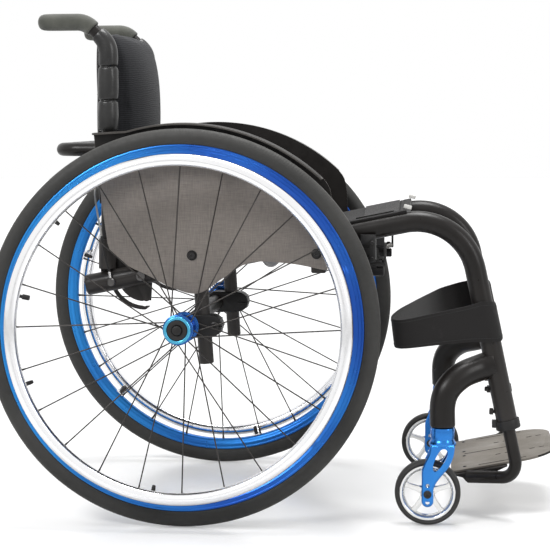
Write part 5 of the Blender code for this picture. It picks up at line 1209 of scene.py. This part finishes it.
def guard_pieces():
    hub = (0, HUB_HEIGHT)
    top = [on_circle(hub, LIP_RADIUS, LIP_START - LIP_SPAN * k / 66) for k in range(67)]
    nose = curve2([(0.215, 0.5105), (0.2195, 0.501), (0.2225, 0.484), (0.2235, 0.464)])
    front = nose + curve2([(0.224, 0.44), (0.221, 0.4), (0.215, 0.381)])
    wave = curve2([(0.212, 0.3803), (0.16, 0.39), (0.1, 0.3915), (0.06, 0.369), (0.02, 0.3445),
                   (-0.02, 0.353), (-0.055, 0.3705), (-0.09, 0.3875), (-0.114, 0.407)], 8)
    rear = curve2([(-0.118, 0.42), (-0.129, 0.505), (-0.137, 0.586)], 6)
    outline = top + front + wave + rear
    under = [on_circle(hub, 0.279, 36.8 + 81.5 * k / 40) for k in range(41)]
    panel = eased(slab(outline, GUARD_FACE, GUARD_FACE + 0.002), 0.0005, 2, 40)
    # the two dark sheets below are painted shade: one on the panel's inner face, one on its outer face between the
    # lip and the tyre, a painted shadow of the lip
    inner_shade_sheet = slab(outline, GUARD_FACE - 0.0001, GUARD_FACE + 0.0001)
    lip_shadow_sheet = slab([(-0.1366, 0.5856)] + top + nose + under, GUARD_FACE + 0.0019, GUARD_FACE + 0.0026)
    lip_shadow_sheet, lip = eased(lip_shadow_sheet, 0.0002, 1, 40), guard_lip(top)
    lip_shadow_sheet = joined(lip_shadow_sheet, inner_shade_sheet)
    for thing, name, finish, smooth in ((panel, "guard_panel", "guard", 30), (lip, "guard_lip", "lip", 40),
                                        (lip_shadow_sheet, "guard_lining", "lining", 40)):
        both_sides(thing, name, finish, "root", ["side_guard"], "guard", smooth)
    for key, side in SIDES.items():
        near, far, head = (side * (GUARD_FACE + out) for out in (0.0021, 0.0027, 0.0033))
        heads = screws([(x, head, z) for x, z in GUARD_SCREWS], [(0, side, 0)] * 2, 0.0064, 0.0026, 0.42)
        washers = joined(*[rod((x, near, z), (x, far, z), 0.0078) for x, z in GUARD_SCREWS])
        finished(heads, f"guard_screws_{key}", "screw", "root", [], "steel", 30)
        finished(eased(washers, 0.0002, 1), f"guard_washers_{key}", "plastic", "root", [], "plastic", 30)


# ---------------------------------------------------------------- folding back
HINGE_INNER = FRAME_HALF - FRAME_TUBE - 0.0005 - 0.005
HINGE_OUTER = HINGE_INNER + 0.005
BOLT_HEAD = FRAME_HALF + FRAME_TUBE + 0.0003
GRIP_START, BAR_HEIGHT = 0.7425, 0.561
CANE_CORNERS = [(-0.1235, 0.38), (-0.117, 0.72), (-0.152, 0.753), (-0.215, 0.753)]


def cane_path(side=-1, steps=10):
    return rounded_path([(x, side * FRAME_HALF, z) for x, z in CANE_CORNERS], [0.035, 0.03], steps)


def cane_place(height, side=-1):
    points = cane_path(side)
    for low, high in zip(points, points[1:]):
        if low.z <= height <= high.z and high.z > low.z:
            return low.lerp(high, (height - low.z) / (high.z - low.z))
    return points[-1]


def hinge_plate():
    """Plate with an arc slot and its notches, the web and the socket that the cane stands in."""
    low, high = Vector((-0.1235, -FRAME_HALF, 0.3797)), cane_place(0.425)
    inner, outer = HINGE_INNER, HINGE_OUTER
    px, pz = PIVOT
    outline = [(px + x, pz + z) for x, z in ((0.0115, 0.009), (0.0115, -0.016), (0.009, -0.049), (0.002, -0.055))]
    outline += arc2(PIVOT, 0.0555, 268, -7, 11)
    outline += [(-0.137, 0.369), (-0.138, 0.425), (-0.108, 0.425), (-0.101, 0.398), (px - 0.004, pz + 0.0125),
                (px + 0.006, pz + 0.0125)]
    plate = eased(slab(outline, inner, outer), 0.0009, 2)
    web = eased(block((-0.1335, -outer + 0.001, 0.3877), (-0.1115, -FRAME_HALF + 0.004, 0.425)), 0.002, 3)
    reach, bore = (high - low).length, 0.0097
    socket = turned([(bore, 0), (0.0124, 0), (0.013, 0.0008), (0.013, reach - 0.0022), (0.012, reach - 0.0004),
                     (bore, reach)], 36)
    along_axis(socket, low, high - low)
    body = union(plate, web, rod(low, high, 0.0126, 36))
    start, stop = math.radians(LATCH_ANGLE) - 0.02, math.radians(LATCH_ANGLE) + math.radians(87.5)
    arc = []
    for radius, turn in ((LATCH_RADIUS + 0.0036, 1), (LATCH_RADIUS - 0.0036, -1)):
        angles = [start + (stop - start) * k / 24 for k in range(25)][::turn]
        arc += [(px + radius * math.cos(a), pz + radius * math.sin(a)) for a in angles]
    cutters = [slab(arc, inner - 0.01, outer + 0.01), cross_rod(PIVOT, inner - 0.01, outer + 0.01, 0.0053, 24),
               rod(low - (high - low) * 0.1, high + (high - low) * 0.1, 0.0098)]
    cutters += [cross_rod(on_hinge(turn), inner - 0.01, outer + 0.01, 0.0044) for turn in (0, 76.0, 87.5)]
    return union(minus(body, *cutters), socket)


def push_grip():
    """Foam grip along the handle, thinned at its foot and rounded off at its rear end."""
    path = [p for p in cane_path(-1, 8) if p.z > GRIP_START]
    first, end = cane_place(GRIP_START), (-0.224, -FRAME_HALF, 0.753)
    ends = (-0.17, -0.18, -0.19, -0.2, -0.21, -0.2155, -0.2195, -0.2222, -0.2237, end[0])
    run = [first, first.lerp(path[0], 0.3)] + path[:-1] + [Vector((x, *end[1:])) for x in ends]
    kept = [run[0]]
    for p in run[1:]:
        if (p - kept[-1]).length > 0.0004:
            kept.append(p)
    scales = [0.93, 1.0] + [1.0] * (len(kept) - 7) + [0.985, 0.94, 0.84, 0.66, 0.4]
    return minus(tube(kept, 0.0128, 40, scales), tube(cane_path(), CANE_TUBE + 0.0004, 32))


def post_sleeve():
    """Padded vinyl round the cane: puffed lengths between seams, with shallow creases along it."""
    fine = curve2([
        (0.589, 0.012), (0.5903, 0.014), (0.5945, 0.015), (0.6, 0.0154), (0.613, 0.0158), (0.624, 0.0154),
        (0.6305, 0.0149), (0.633, 0.0141), (0.6342, 0.0127), (0.635, 0.0122), (0.6358, 0.0127), (0.637, 0.0141),
        (0.6395, 0.0149), (0.647, 0.0154), (0.661, 0.0157), (0.673, 0.0153), (0.6815, 0.0148), (0.6842, 0.0138),
        (0.6854, 0.0124), (0.6862, 0.0119), (0.687, 0.0124), (0.6882, 0.0138), (0.691, 0.0145), (0.701, 0.0147),
        (0.711, 0.0145), (0.719, 0.0141), (0.726, 0.0134), (0.7315, 0.0127), (0.7345, 0.0118), (0.7352, 0.0106),
    ])
    round_stretch, along_stretch, seed, depth, largest = 1.6, 70.0, 3.1, 0.026, 0.0163

    def radius(i, angle):
        z, r = fine[i]
        place = (math.cos(angle) * round_stretch, math.sin(angle) * round_stretch, z * along_stretch + seed)
        return min(r * (1 + depth * noise.noise(Vector(place))), largest)
    return minus(swept([cane_place(z) for z, _ in fine], 48, radius), tube(cane_path(), CANE_TUBE + 0.00045, 32))


def stiffening_bar():
    start, reach = cane_place(BAR_HEIGHT).x, 0.03
    corners = [(x, side * FRAME_HALF, BAR_HEIGHT) for x, side in ((start, -1), (-0.196, -1), (-0.196, 1), (start, 1))]
    bar = tube(rounded_path(corners, [0.035] * 2, 12), 0.01, 32)
    copes = []
    for side in (-1, 1):
        copes.append(rod(*(cane_place(BAR_HEIGHT + up, side) for up in (-reach, reach)), CANE_TUBE + FIT, 40))
        near, far = sorted((side * (FRAME_HALF - reach), side * (FRAME_HALF + reach)))
        copes.append(block((start, near, BAR_HEIGHT - reach), (start + reach, far, BAR_HEIGHT + reach)))
    finished(minus(bar, *copes), "stiffening_bar", "frame", "back", ["rigidizer_bar"], "frame")


def hinge_pins():
    """Hinge bolt and the latch pin that sits beside it."""
    inner, head = HINGE_INNER, BOLT_HEAD
    pin = shaft([(0, inner - 0.005), (0.0074, inner - 0.005), (0.008, inner - 0.0042), (0.008, inner - 0.0003),
                 (0.005, inner - 0.0003), (0.005, head), (0.008, head), (0.0078, head + 0.0016),
                 (0.0068, head + 0.0028), (0.004, head + 0.003), (0.0036, head + 0.0012), (0, head + 0.0012)], 32)
    tip = inner - 0.001
    latch = shaft([(0, tip), (0.0022, tip), (0.0031, tip + 0.001), (0.0031, head), (0.0056, head),
                   (0.006, head + 0.0005), (0.006, head + 0.0036), (0.005, head + 0.0048), (0, head + 0.0052)], 28)
    return [along_axis(thing, (x, 0, z), (0, -1, 0)) for thing, (x, z) in ((pin, PIVOT), (latch, on_hinge()))]


def back_pieces():
    cane, hinge, grip, sleeve = tube(cane_path(), CANE_TUBE, 32), hinge_plate(), push_grip(), post_sleeve()
    pin, latch = hinge_pins()
    for thing, name, finish, body_name, nodes, slot, smooth in (
        (cane, "cane", "frame", "back", ["back_cane"], "frame", 34),
        (hinge, "hinge", "frame", "back", ["hinge_plate"], "frame", 34),
        (grip, "grip", "grip", "back", ["push_grip"], "grip", 60),
        (sleeve, "sleeve", "vinyl", "back", ["post_sleeve"], "vinyl", 60),
        (pin, "hinge_bolt", "steel", "root", ["hinge_pin"], "steel", 34),
        (latch, "latch", "steel", "latch_", ["latch_pin"], "steel", 30),
    ):
        both_sides(thing, name, finish, body_name, nodes, slot, smooth)
    stiffening_bar()


BACK_HALF, BACK_FOOT, BACK_HEAD, BACK_FACE, BACK_WALL, BACK_BOW = 0.1475, 0.478, 0.728, -0.1405, 0.01, 0.015
CUSHION_HALF, CUSHION_HEAD, CUSHION_DEPTH = 0.144, 0.742, 0.072
CUSHION_REST = BACK_FACE + BACK_WALL + 0.0003


def edge_fall(u, power):
    return max(0.0, 1 - abs(u) ** power) ** (1 / 2.2)


def back_bow(y):
    return BACK_BOW * (1 - (y / BACK_HALF) ** 2)


def pillow(columns, rows, front, back):
    """Closed form between two surfaces; each takes u and v from -1 to 1."""
    bm = bmesh.new()
    near, far = ([[bm.verts.new(face(-1 + 2 * i / columns, -1 + 2 * j / rows)) for i in range(columns + 1)]
                  for j in range(rows + 1)] for face in (front, back))
    for sheet in (near, far):
        for j in range(rows):
            for i in range(columns):
                bm.faces.new((sheet[j][i], sheet[j][i + 1], sheet[j + 1][i + 1], sheet[j + 1][i]))
    for j in range(rows):
        for i in (0, columns):
            bm.faces.new((near[j][i], near[j + 1][i], far[j + 1][i], far[j][i]))
    for i in range(columns):
        for j in (0, rows):
            bm.faces.new((near[j][i], near[j][i + 1], far[j][i + 1], far[j][i]))
    return as_object(bm)


def upholstery_piece():
    middle, half = (BACK_HEAD + BACK_FOOT) / 2, (BACK_HEAD - BACK_FOOT) / 2

    def face(sign):
        def point(u, v):
            y, z = u * BACK_HALF, middle + v * half
            puff = BACK_WALL * 0.5 * (0.35 + 0.65 * edge_fall(u, 6) * edge_fall(v, 10))
            puff *= 0.8 + 0.2 * abs(math.sin(1.5 * math.pi * (v + 1)))
            return (BACK_FACE + BACK_WALL / 2 - back_bow(y) + sign * puff, y, z)
        return point
    panel = pillow(72, 96, face(1), face(-1))
    uv = panel.data.uv_layers.new(name="cloth")
    for loop in panel.data.loops:
        co = panel.data.vertices[loop.vertex_index].co
        uv.data[loop.index].uv = (co.y, co.z)
    finished(panel, "back_panel", "back", "back", ["back_upholstery"], "fabric", 60)
    lines = []
    for v in (-0.333, 0.333):
        seam = [Vector(face(-1)(-0.94 + 1.88 * k / 60, v)) for k in range(61)]
        lines.append([(p.x - 0.0002, p.y, p.z) for p in seam])
    stitch_rows("back_panel_stitches", "back", lines, 0.0042)


def cushion_shape(columns, rows, shrink):
    """The back cushion's own form, drawn in by shrink on every side."""
    head = CUSHION_HEAD + 0.004
    middle, half = (head + BACK_FOOT) / 2, (head - BACK_FOOT) / 2

    def place(u, v):
        droop = 0.03 * abs(u) ** 3 if v > 0 else 0.0
        return u * (CUSHION_HALF - shrink) * (1 - 0.035 * (1 - v * v)), middle + v * (half - shrink) * (1 - droop)

    def back(u, v):
        y, z = place(u, v)
        return (CUSHION_REST + shrink * 0.5 + 0.004 * (1 - edge_fall(u, 8)) - back_bow(y), y, z)

    def front(u, v):
        y, z = place(u, v)
        crown = 0.35 + 0.65 * edge_fall(u, 4.0) * edge_fall(v, 2.6)
        taper = 1.0 - 0.2 * max(0.0, -v) ** 1.5
        return (CUSHION_REST + (CUSHION_DEPTH - shrink - 0.03 * u * u) * taper * crown - back_bow(y), y, z)
    return pillow(columns, rows, front, back)


def puffed(thing, voxel, pressure, cap, frames=20):
    """Inflate a closed cover with cloth, each point held within cap of where it began."""
    step = thing.modifiers.new("even", "REMESH")
    step.mode = "VOXEL"
    step.voxel_size = voxel
    thing = applied(thing)
    start = [v.co.copy() for v in thing.data.vertices]
    cloth = thing.modifiers.new("puff", "CLOTH")
    settings = dict(quality=6, mass=0.3, use_pressure=True, uniform_pressure_force=pressure, tension_stiffness=15,
                    compression_stiffness=15, shear_stiffness=5, bending_stiffness=0.5)
    for key, value in settings.items():
        setattr(cloth.settings, key, value)
    cloth.settings.effector_weights.gravity = 0
    cloth.collision_settings.use_collision = False
    scene = bpy.context.scene
    scene.frame_start, scene.frame_end = 1, frames
    for f in range(1, frames + 1):
        scene.frame_set(f)
    thing = applied(thing)
    scene.frame_set(1)
    for v, base in zip(thing.data.vertices, start):
        away = v.co - base
        if away.length > cap:
            v.co = base + away.normalized() * cap
    return thing


def cushion_pieces():
    cushion = cushion_shape(48, 60, 0.004)
    cushion = puffed(cushion, 0.005, 3.0, 0.005)
    smooth = cushion.modifiers.new("round", "SUBSURF")
    smooth.levels = smooth.render_levels = 1
    cushion = applied(cushion)
    for v in cushion.data.vertices:
        v.co.x = max(v.co.x, CUSHION_REST - back_bow(max(-BACK_HALF, min(BACK_HALF, v.co.y))))
        across = v.co.y / 0.124
        top = CUSHION_HEAD - 0.0035 - 0.0015 * across + 0.003 * max(0.0, -across) ** 2
        v.co.z = min(v.co.z, top)
    finished(cushion, "cushion", "cushion", "back", ["back_cushion"], "cushion", 70)
    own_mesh(cushion)


# ---------------------------------------------------------------- wheel locks
LOCK = (0.2942, 0.178)
LOCK_FOOT, LOCK_LINK = 0.392, 0.0042


def upright(x, low, high, radius, steps=28):
    """Upright rod in the wheel lock's own plane."""
    return rod((x, -LOCK[1], low), (x, -LOCK[1], high), radius, steps)


def lock_block(x0, x1, z0, z1, near=-0.0065, far=0.0065):
    """Block in the wheel lock, from x0 to x1 and z0 to z1, with its sides from the lock's own plane."""
    return block((x0, -LOCK[1] + near, z0), (x1, -LOCK[1] + far, z1))


def lock_body():
    """Body clamped under the side tube, cut for the tube and its two side windows, with its pivot."""
    px, py = LOCK
    top, foot, front, length = seat_line(px), LOCK_FOOT, px - 0.007, 0.022
    body = eased(block((front - length, -py - 0.01, foot), (front, -FRAME_HALF + 0.008, top)), 0.001, 2)
    windows = [lock_block(front - length - 0.01, front - length + 0.013, low, high, -0.02, -0.0072)
               for low, high in ((0.4135, 0.4185), (0.4005, 0.4045))]
    above = lock_block(px - 0.05, px + 0.05, seat_line(front - length) - 0.004, top + 0.05, -0.05, py)
    body = minus(body, seat_tube_cutter(), above, *windows)
    tongue = lock_block(front - 0.004, px, foot, foot + 0.0035, -0.0046, 0.0046)
    body = union(body, tongue, upright(px, foot, foot + 0.0035, 0.0046),
                 upright(px, foot - LOCK_LINK, foot + 0.005, 0.0028, 20))
    bolts = []
    for z in (0.3975, 0.4215):
        bolt = socket_bolt(-0.002, 0.0018, 0.0024, 0.0008, 0.0031, 0.0025, 0.0015, 0.0014, 18)
        bolts.append(along_axis(bolt, (front - 0.0052, -py - 0.0098, z), (0, -1, 0)))
    return body, bolts


def lock_lever(heel):
    """Lever: link under the body, upright with a stem, and the knob on it."""
    px, py = LOCK
    high = LOCK_FOOT - 0.0003
    low, front, half, wall = high - LOCK_LINK, px + 0.0046 + 0.0005, 0.0065, 0.0033
    link_plate = eased(union(lock_block(heel, front + wall, low, high), upright(heel, low, high, half)), 0.0006)
    post = eased(lock_block(front, front + wall, low + 0.0005, 0.4205), 0.0008, 3)
    stem = rod((front, -py, 0.414), (front + 0.007, -py, 0.4168), 0.002, 16)
    knob = shaft([(0, 0.0), (0.0034, 0.0), (0.0036, 0.0012), (0.0033, 0.004), (0.0036, 0.0066), (0.0033, 0.0086),
                  (0.0022, 0.01), (0, 0.0105)])
    along_axis(knob, (front + 0.003, -py, 0.4152), (0.93, 0, 0.37))
    lever = minus(union(link_plate, post, stem), upright(px, low - 0.01, high + 0.01, 0.0031, 20))
    return union(lever, upright(heel, low - 0.0044, high, 0.0028, 20)), knob


def lock_shoe(heel):
    """Arm under the lever with the ribbed roller at its end."""
    high = LOCK_FOOT - LOCK_LINK - 0.0006
    low, centre = high - LOCK_LINK, heel + 0.0155
    arm = union(lock_block(heel, centre, low, high, -0.005, 0.005), upright(heel, low, high, 0.0062))
    arm = minus(eased(arm, 0.0006), upright(heel, low - 0.01, high + 0.01, 0.0031, 20))
    profile = [(0, -0.011), (0.0062, -0.011), (0.0072, -0.01)]
    for k in range(11):
        z = -0.009 + 0.0018 * k
        profile += [(0.0075, z - 0.0006), (0.0075, z + 0.0002), (0.0069, z + 0.0005)]
    profile += [(0.0072, 0.01), (0.0062, 0.011), (0, 0.011)]
    return union(arm, along_axis(shaft(profile, 32), (centre, -LOCK[1], 0.3785), (1, 0, 0)))


def lock_pieces():
    heel = LOCK[0] - 0.021
    body, bolts = lock_body()
    lever, knob = lock_lever(heel)
    shoe = lock_shoe(heel)
    for thing, name, finish, body_name, nodes in (
        (body, "lock_body", "plastic", "root", ["brake_bracket"]),
        (joined(*bolts), "lock_bolts", "screw", "root", []),
        (lever, "lock_lever", "plastic", "brake_lever_", ["brake_lever"]),
        (knob, "lock_knob", "knob", "brake_lever_", []),
        (shoe, "lock_shoe", "plastic", "brake_shoe_", ["brake_shoe"]),
    ):
        both_sides(thing, name, finish, body_name, nodes, "plastic", 30)


# ---------------------------------------------------------------- seat and straps
def sling_piece():
    half, bed, wall, sag = FRAME_HALF, FRAME_TUBE + 0.0006, 0.0035, 0.018
    span = half - 0.002
    columns = arc2((-half, 0), bed, 116, -5.4, 7)
    for k in range(1, 40):
        u = -1 + 2 * k / 40
        columns.append((u * span, bed - sag * (1 - u * u)))
    columns += [(-y, z) for y, z in reversed(columns[:7])]
    rear, front = -0.045, 0.333

    def surface(u, v):
        x = rear + (front - rear) * v
        t = u * (len(columns) - 1)
        i = min(int(t), len(columns) - 2)
        a, b = Vector(columns[i]), Vector(columns[i + 1])
        p = a.lerp(b, t - i)
        n = Vector((-(b - a).y, (b - a).x)).normalized()
        fold = 0.0006 * noise.noise(Vector((x * 30, p.x * 18, 2.0)))
        q = p + n * (wall / 2 + (fold if abs(p.x) < 0.13 else 0))
        return Vector((x, q.x, seat_line(x) + q.y))

    def thickness(u, v):
        return wall * (1.3 if v > 0.965 or v < 0.03 else 0.96)
    sheet = cloth_grid(thickness, surface, 52, 72, 0.36, 0.378)
    finished(sheet, "seat_sheet", "sling", "root", ["seat_sling"], "fabric", 60)

    def pad_surface(u, v):
        p = surface(0.06 + 0.88 * u, 0.8 + 0.15 * v)
        return p + Vector((-SEAT_SLOPE, 0, 1)).normalized() * 0.0028
    pad = cloth_grid(lambda u, v: 0.0018, pad_surface, 60, 12, 0.32, 0.056)
    finished(pad, "seat_loop_pad", "loop", "root", [], "fabric", 60)
    lean = Matrix.Translation((0.3345, 0, 0.4742)) @ Matrix.Rotation(0.25, 4, "Y")
    for key, side in SIDES.items():
        near, far = sorted((side * (FRAME_HALF - 0.001), side * (FRAME_HALF + 0.0035)))
        tab = moved(eased(block((-0.006, near, -0.003), (0.006, far, 0.003)), 0.0012, 2), lean)
        finished(tab, f"seat_tab_{key}", "tab", "root", [], "fabric", 40)
    lines = []
    for v in (0.028, 0.955, 0.972):
        seam = [surface(0.02 + 0.96 * k / 120, v) for k in range(121)]
        lines.append([(p.x, p.y, p.z + wall * 0.62) for p in seam])
    stitch_rows("seat_stitches", "root", lines)


def strap_line():
    """Middle line, height and lean of the calf strap from the right leg round behind to the left leg."""
    middle, height, wall = 0.304, 0.06, 0.0035
    wrap = FRAME_TUBE + 0.0009 + wall / 2

    def round_leg(side, angle):
        a = math.radians(angle)
        place = Vector((leg_line(middle) + wrap * math.cos(a), side * FRAME_HALF + wrap * math.sin(a), middle))
        return place, height - 0.008 * max(0.0, math.cos(a)) ** 10, LEG_LEAN
    run = [
        (0.425, -0.1835, 0.3, 0.053, -0.19), (0.38, -0.185, 0.293, 0.048, -0.15),
        (0.34, -0.185, 0.286, 0.044, -0.12), (0.322, -0.182, 0.284, 0.043, -0.12),
        (0.314, -0.17, 0.285, 0.043, -0.12), (0.315, -0.14, 0.287, 0.044, -0.12),
        (0.324, -0.07, 0.288, 0.044, -0.12), (0.337, 0.0000, 0.2885, 0.044, -0.12),
        (0.352, 0.07, 0.289, 0.045, -0.14), (0.37, 0.13, 0.291, 0.047, -0.16),
        (0.39, 0.168, 0.295, 0.05, -0.18), (0.42, 0.1835, 0.3, 0.055, -0.2),
    ]
    run = [Vector(knot[:4]).to_tuple() + (knot[4],) for knot in run]
    last = len(run) - 1
    fine = []
    for i in range(last):
        knots = [run[max(i - 1, 0)], run[i], run[i + 1], run[min(i + 2, last)]]
        for k in range(6):
            t = k / 6
            weights = (-0.5 * t + t * t - 0.5 * t ** 3, 1 - 2.5 * t * t + 1.5 * t ** 3,
                       0.5 * t + 2 * t * t - 1.5 * t ** 3, -0.5 * t * t + 0.5 * t ** 3)
            fine.append([sum(w * knot[n] for w, knot in zip(weights, knots)) for n in range(5)])
    fine.append(run[-1])
    return ([round_leg(-1, angle) for angle in range(70, -96, -6)] + [(Vector(f[:3]), f[3], f[4]) for f in fine]
            + [round_leg(1, angle) for angle in range(95, -71, -6)])


def strap_pieces():
    stations = strap_line()
    lengths = [0.0]
    for a, b in zip(stations, stations[1:]):
        lengths.append(lengths[-1] + (b[0] - a[0]).length)
    total, last = lengths[-1], len(stations) - 1

    def surface(u, v):
        place, height, lean = stations[min(round(v * last), last)]
        return place + Vector((lean, 0, 1)) * height * (u - 0.5)

    def thickness(u, v):
        return 0.0034 if 0.05 < u < 0.95 else 0.0026
    band = cloth_grid(thickness, surface, 14, last, 0.048, total)
    for loop in band.data.uv_layers["cloth"].data:
        x, y = loop.uv
        loop.uv = (lengths[min(round(y / total * last), last)], x)
    finished(band, "calf_band", "strap", "root", ["calf_strap"], "fabric", 50)
    lines = []
    for across in (0.09, 0.91):
        line = []
        for i, (place, height, lean) in enumerate(stations):
            along = (stations[min(i + 1, last)][0] - stations[max(i - 1, 0)][0]).normalized()
            out = Vector((along.y, -along.x, 0)).normalized()
            line.append(place + Vector((lean, 0, 1)) * height * (across - 0.5) - out * 0.0017)
        lines.append(line)
    stitch_rows("calf_band_stitches", "root", lines, radius=0.0004)


def cord_piece():
    y = FRAME_HALF + FRAME_TUBE + 0.0035
    x, z = on_hinge()
    half = [
        (x - 0.001, y, z + 0.0068), (x - 0.0035, y, z + 0.02), (-0.1225, y, 0.4), (-0.1285, y, 0.435),
        (-0.1345, y - 0.002, 0.468), (-0.1395, y - 0.012, 0.49), (-0.1425, y - 0.03, 0.501),
        (-0.148, 0.115, 0.502), (-0.156, 0.06, 0.499),
    ]
    route = smooth_path([(a, -b, c) for a, b, c in half] + [(-0.159, 0.0, 0.498)] + half[::-1], 8)
    cord = finished(tube(route, 0.00145, 14), "cord", "cord", "back", ["release_cord"], "steel", 60)
    sleeves, tips = [], []
    for side in (1, -1):
        run = [Vector((p.x, p.y * side, p.z)) for p in route[:24]]
        sleeves.append(tube(run[6:], 0.0019, 16))
        tips.append(tube(run[:7], 0.0021, 16))
    sheath = finished(joined(*sleeves), "cord_sleeves", "plastic", "back", [], "plastic", 60)
    ends = finished(joined(*tips), "cord_ends", "bright", "back", [], "steel", 60)


# ---------------------------------------------------------------- camera, light and floor
def set_camera():
    yaw, pitch, roll = -0.10063029, 0.09228609, -0.00442155
    forward = Vector((math.sin(yaw) * math.cos(pitch), math.cos(yaw) * math.cos(pitch), -math.sin(pitch)))
    level = Vector((math.cos(yaw), -math.sin(yaw), 0))
    upward = level.cross(forward)
    right = level * math.cos(roll) + upward * math.sin(roll)
    up = upward * math.cos(roll) - level * math.sin(roll)
    data = bpy.data.cameras.new("camera")
    data.sensor_fit = "HORIZONTAL"
    data.sensor_width = 36.0
    data.lens = 111.18
    data.clip_end = 60.0
    camera = bpy.data.objects.new("camera", data)
    bpy.context.scene.collection.objects.link(camera)
    place = Matrix.Translation((0.39151564 + HUB_X, -2.71346906, 0.60782076))
    camera.matrix_world = place @ Matrix((right, up, -forward)).transposed().to_4x4()
    bpy.context.scene.camera = camera


def area_light(name, place, target, size, power):
    data = bpy.data.lights.new(name, "AREA")
    data.shape = "RECTANGLE"
    data.size, data.size_y = size
    data.energy = power
    thing = bpy.data.objects.new(name, data)
    bpy.context.scene.collection.objects.link(thing)
    place, target = Vector(place), Vector(target)
    thing.matrix_world = Matrix.Translation(place) @ (place - target).to_track_quat("Z", "Y").to_matrix().to_4x4()


WHITE = (1, 1, 1, 1)


class World(Nodes):
    """White studio: dim as a light, bright where the camera, a mirror or glass looks into it."""

    def __init__(self, lit, seen):
        world = bpy.context.scene.world = bpy.data.worlds.new("studio")
        world.use_nodes = True
        self.tree = world.node_tree
        self.tree.nodes.clear()
        skies = [self.add("ShaderNodeBackground", {"Color": WHITE, "Strength": power}) for power in (lit, seen)]
        path = self.add("ShaderNodeLightPath")
        looks = path.outputs["Is Camera Ray"]
        for ray in ("Is Glossy Ray", "Is Transmission Ray"):
            looks = self.add("ShaderNodeMath", {0: looks, 1: path.outputs[ray]}, operation="MAXIMUM").outputs[0]
        mix = self.add("ShaderNodeMixShader", {0: looks, 1: skies[0].outputs[0], 2: skies[1].outputs[0]})
        self.add("ShaderNodeOutputWorld", {0: mix.outputs[0]})


def set_floor():
    """Pale floor that glows for the camera, more so away from the chair."""
    bm = bmesh.new()
    bmesh.ops.create_grid(bm, x_segments=2, y_segments=2, size=14.0)
    bmesh.ops.translate(bm, vec=(0, 0, -0.0004), verts=bm.verts)
    floor = as_object(bm)
    floor.name = "studio_floor"
    if floor.data.polygons[0].normal.z < 0:
        floor.data.flip_normals()
    f = Finish("pale_floor", (0.8, 0.8, 0.8), 0.22, Specular_IOR_Level=0.22)
    distance = f.node("VectorMath", {0: f.place}, operation="LENGTH").outputs["Value"]
    glow = f.node("Emission", {"Color": WHITE, "Strength": f.remap(distance, 0.7, 4.5, 0.24, 0.62)})
    plain = f.shader.outputs[0]
    lit = f.node("AddShader", {0: plain, 1: glow.outputs[0]})
    seen = f.node("LightPath").outputs["Is Camera Ray"]
    swap = f.node("MixShader", {0: seen, 1: plain, 2: lit.outputs[0]})
    f.wire(swap.outputs[0], f.tree.nodes["Material Output"].inputs["Surface"])
    floor.data.materials.append(f.material)


def set_stage():
    bpy.context.scene.view_settings.view_transform = "Standard"
    World(0.38, 1.0)
    set_floor()
    area_light("key_light", (-1.6, -2.2, 2.4), (0, 0, 0.3), (1.3, 0.9), 58.0)
    area_light("top_light", (0.3, 0.2, 3.0), (0, 0, 0.2), (1.5, 1.2), 70.0)
    area_light("fill_light", (2.4, -1.6, 1.6), (0.1, 0, 0.3), (0.5, 1.6), 20.0)


def main():
    set_camera()
    set_stage()
    make_finishes()
    for make in (wheel_pieces, frame_pieces, caster_pieces, footrest_pieces, guard_pieces, back_pieces,
                 upholstery_piece, cushion_pieces, lock_pieces, sling_piece, strap_pieces, cord_piece):
        make()


main()
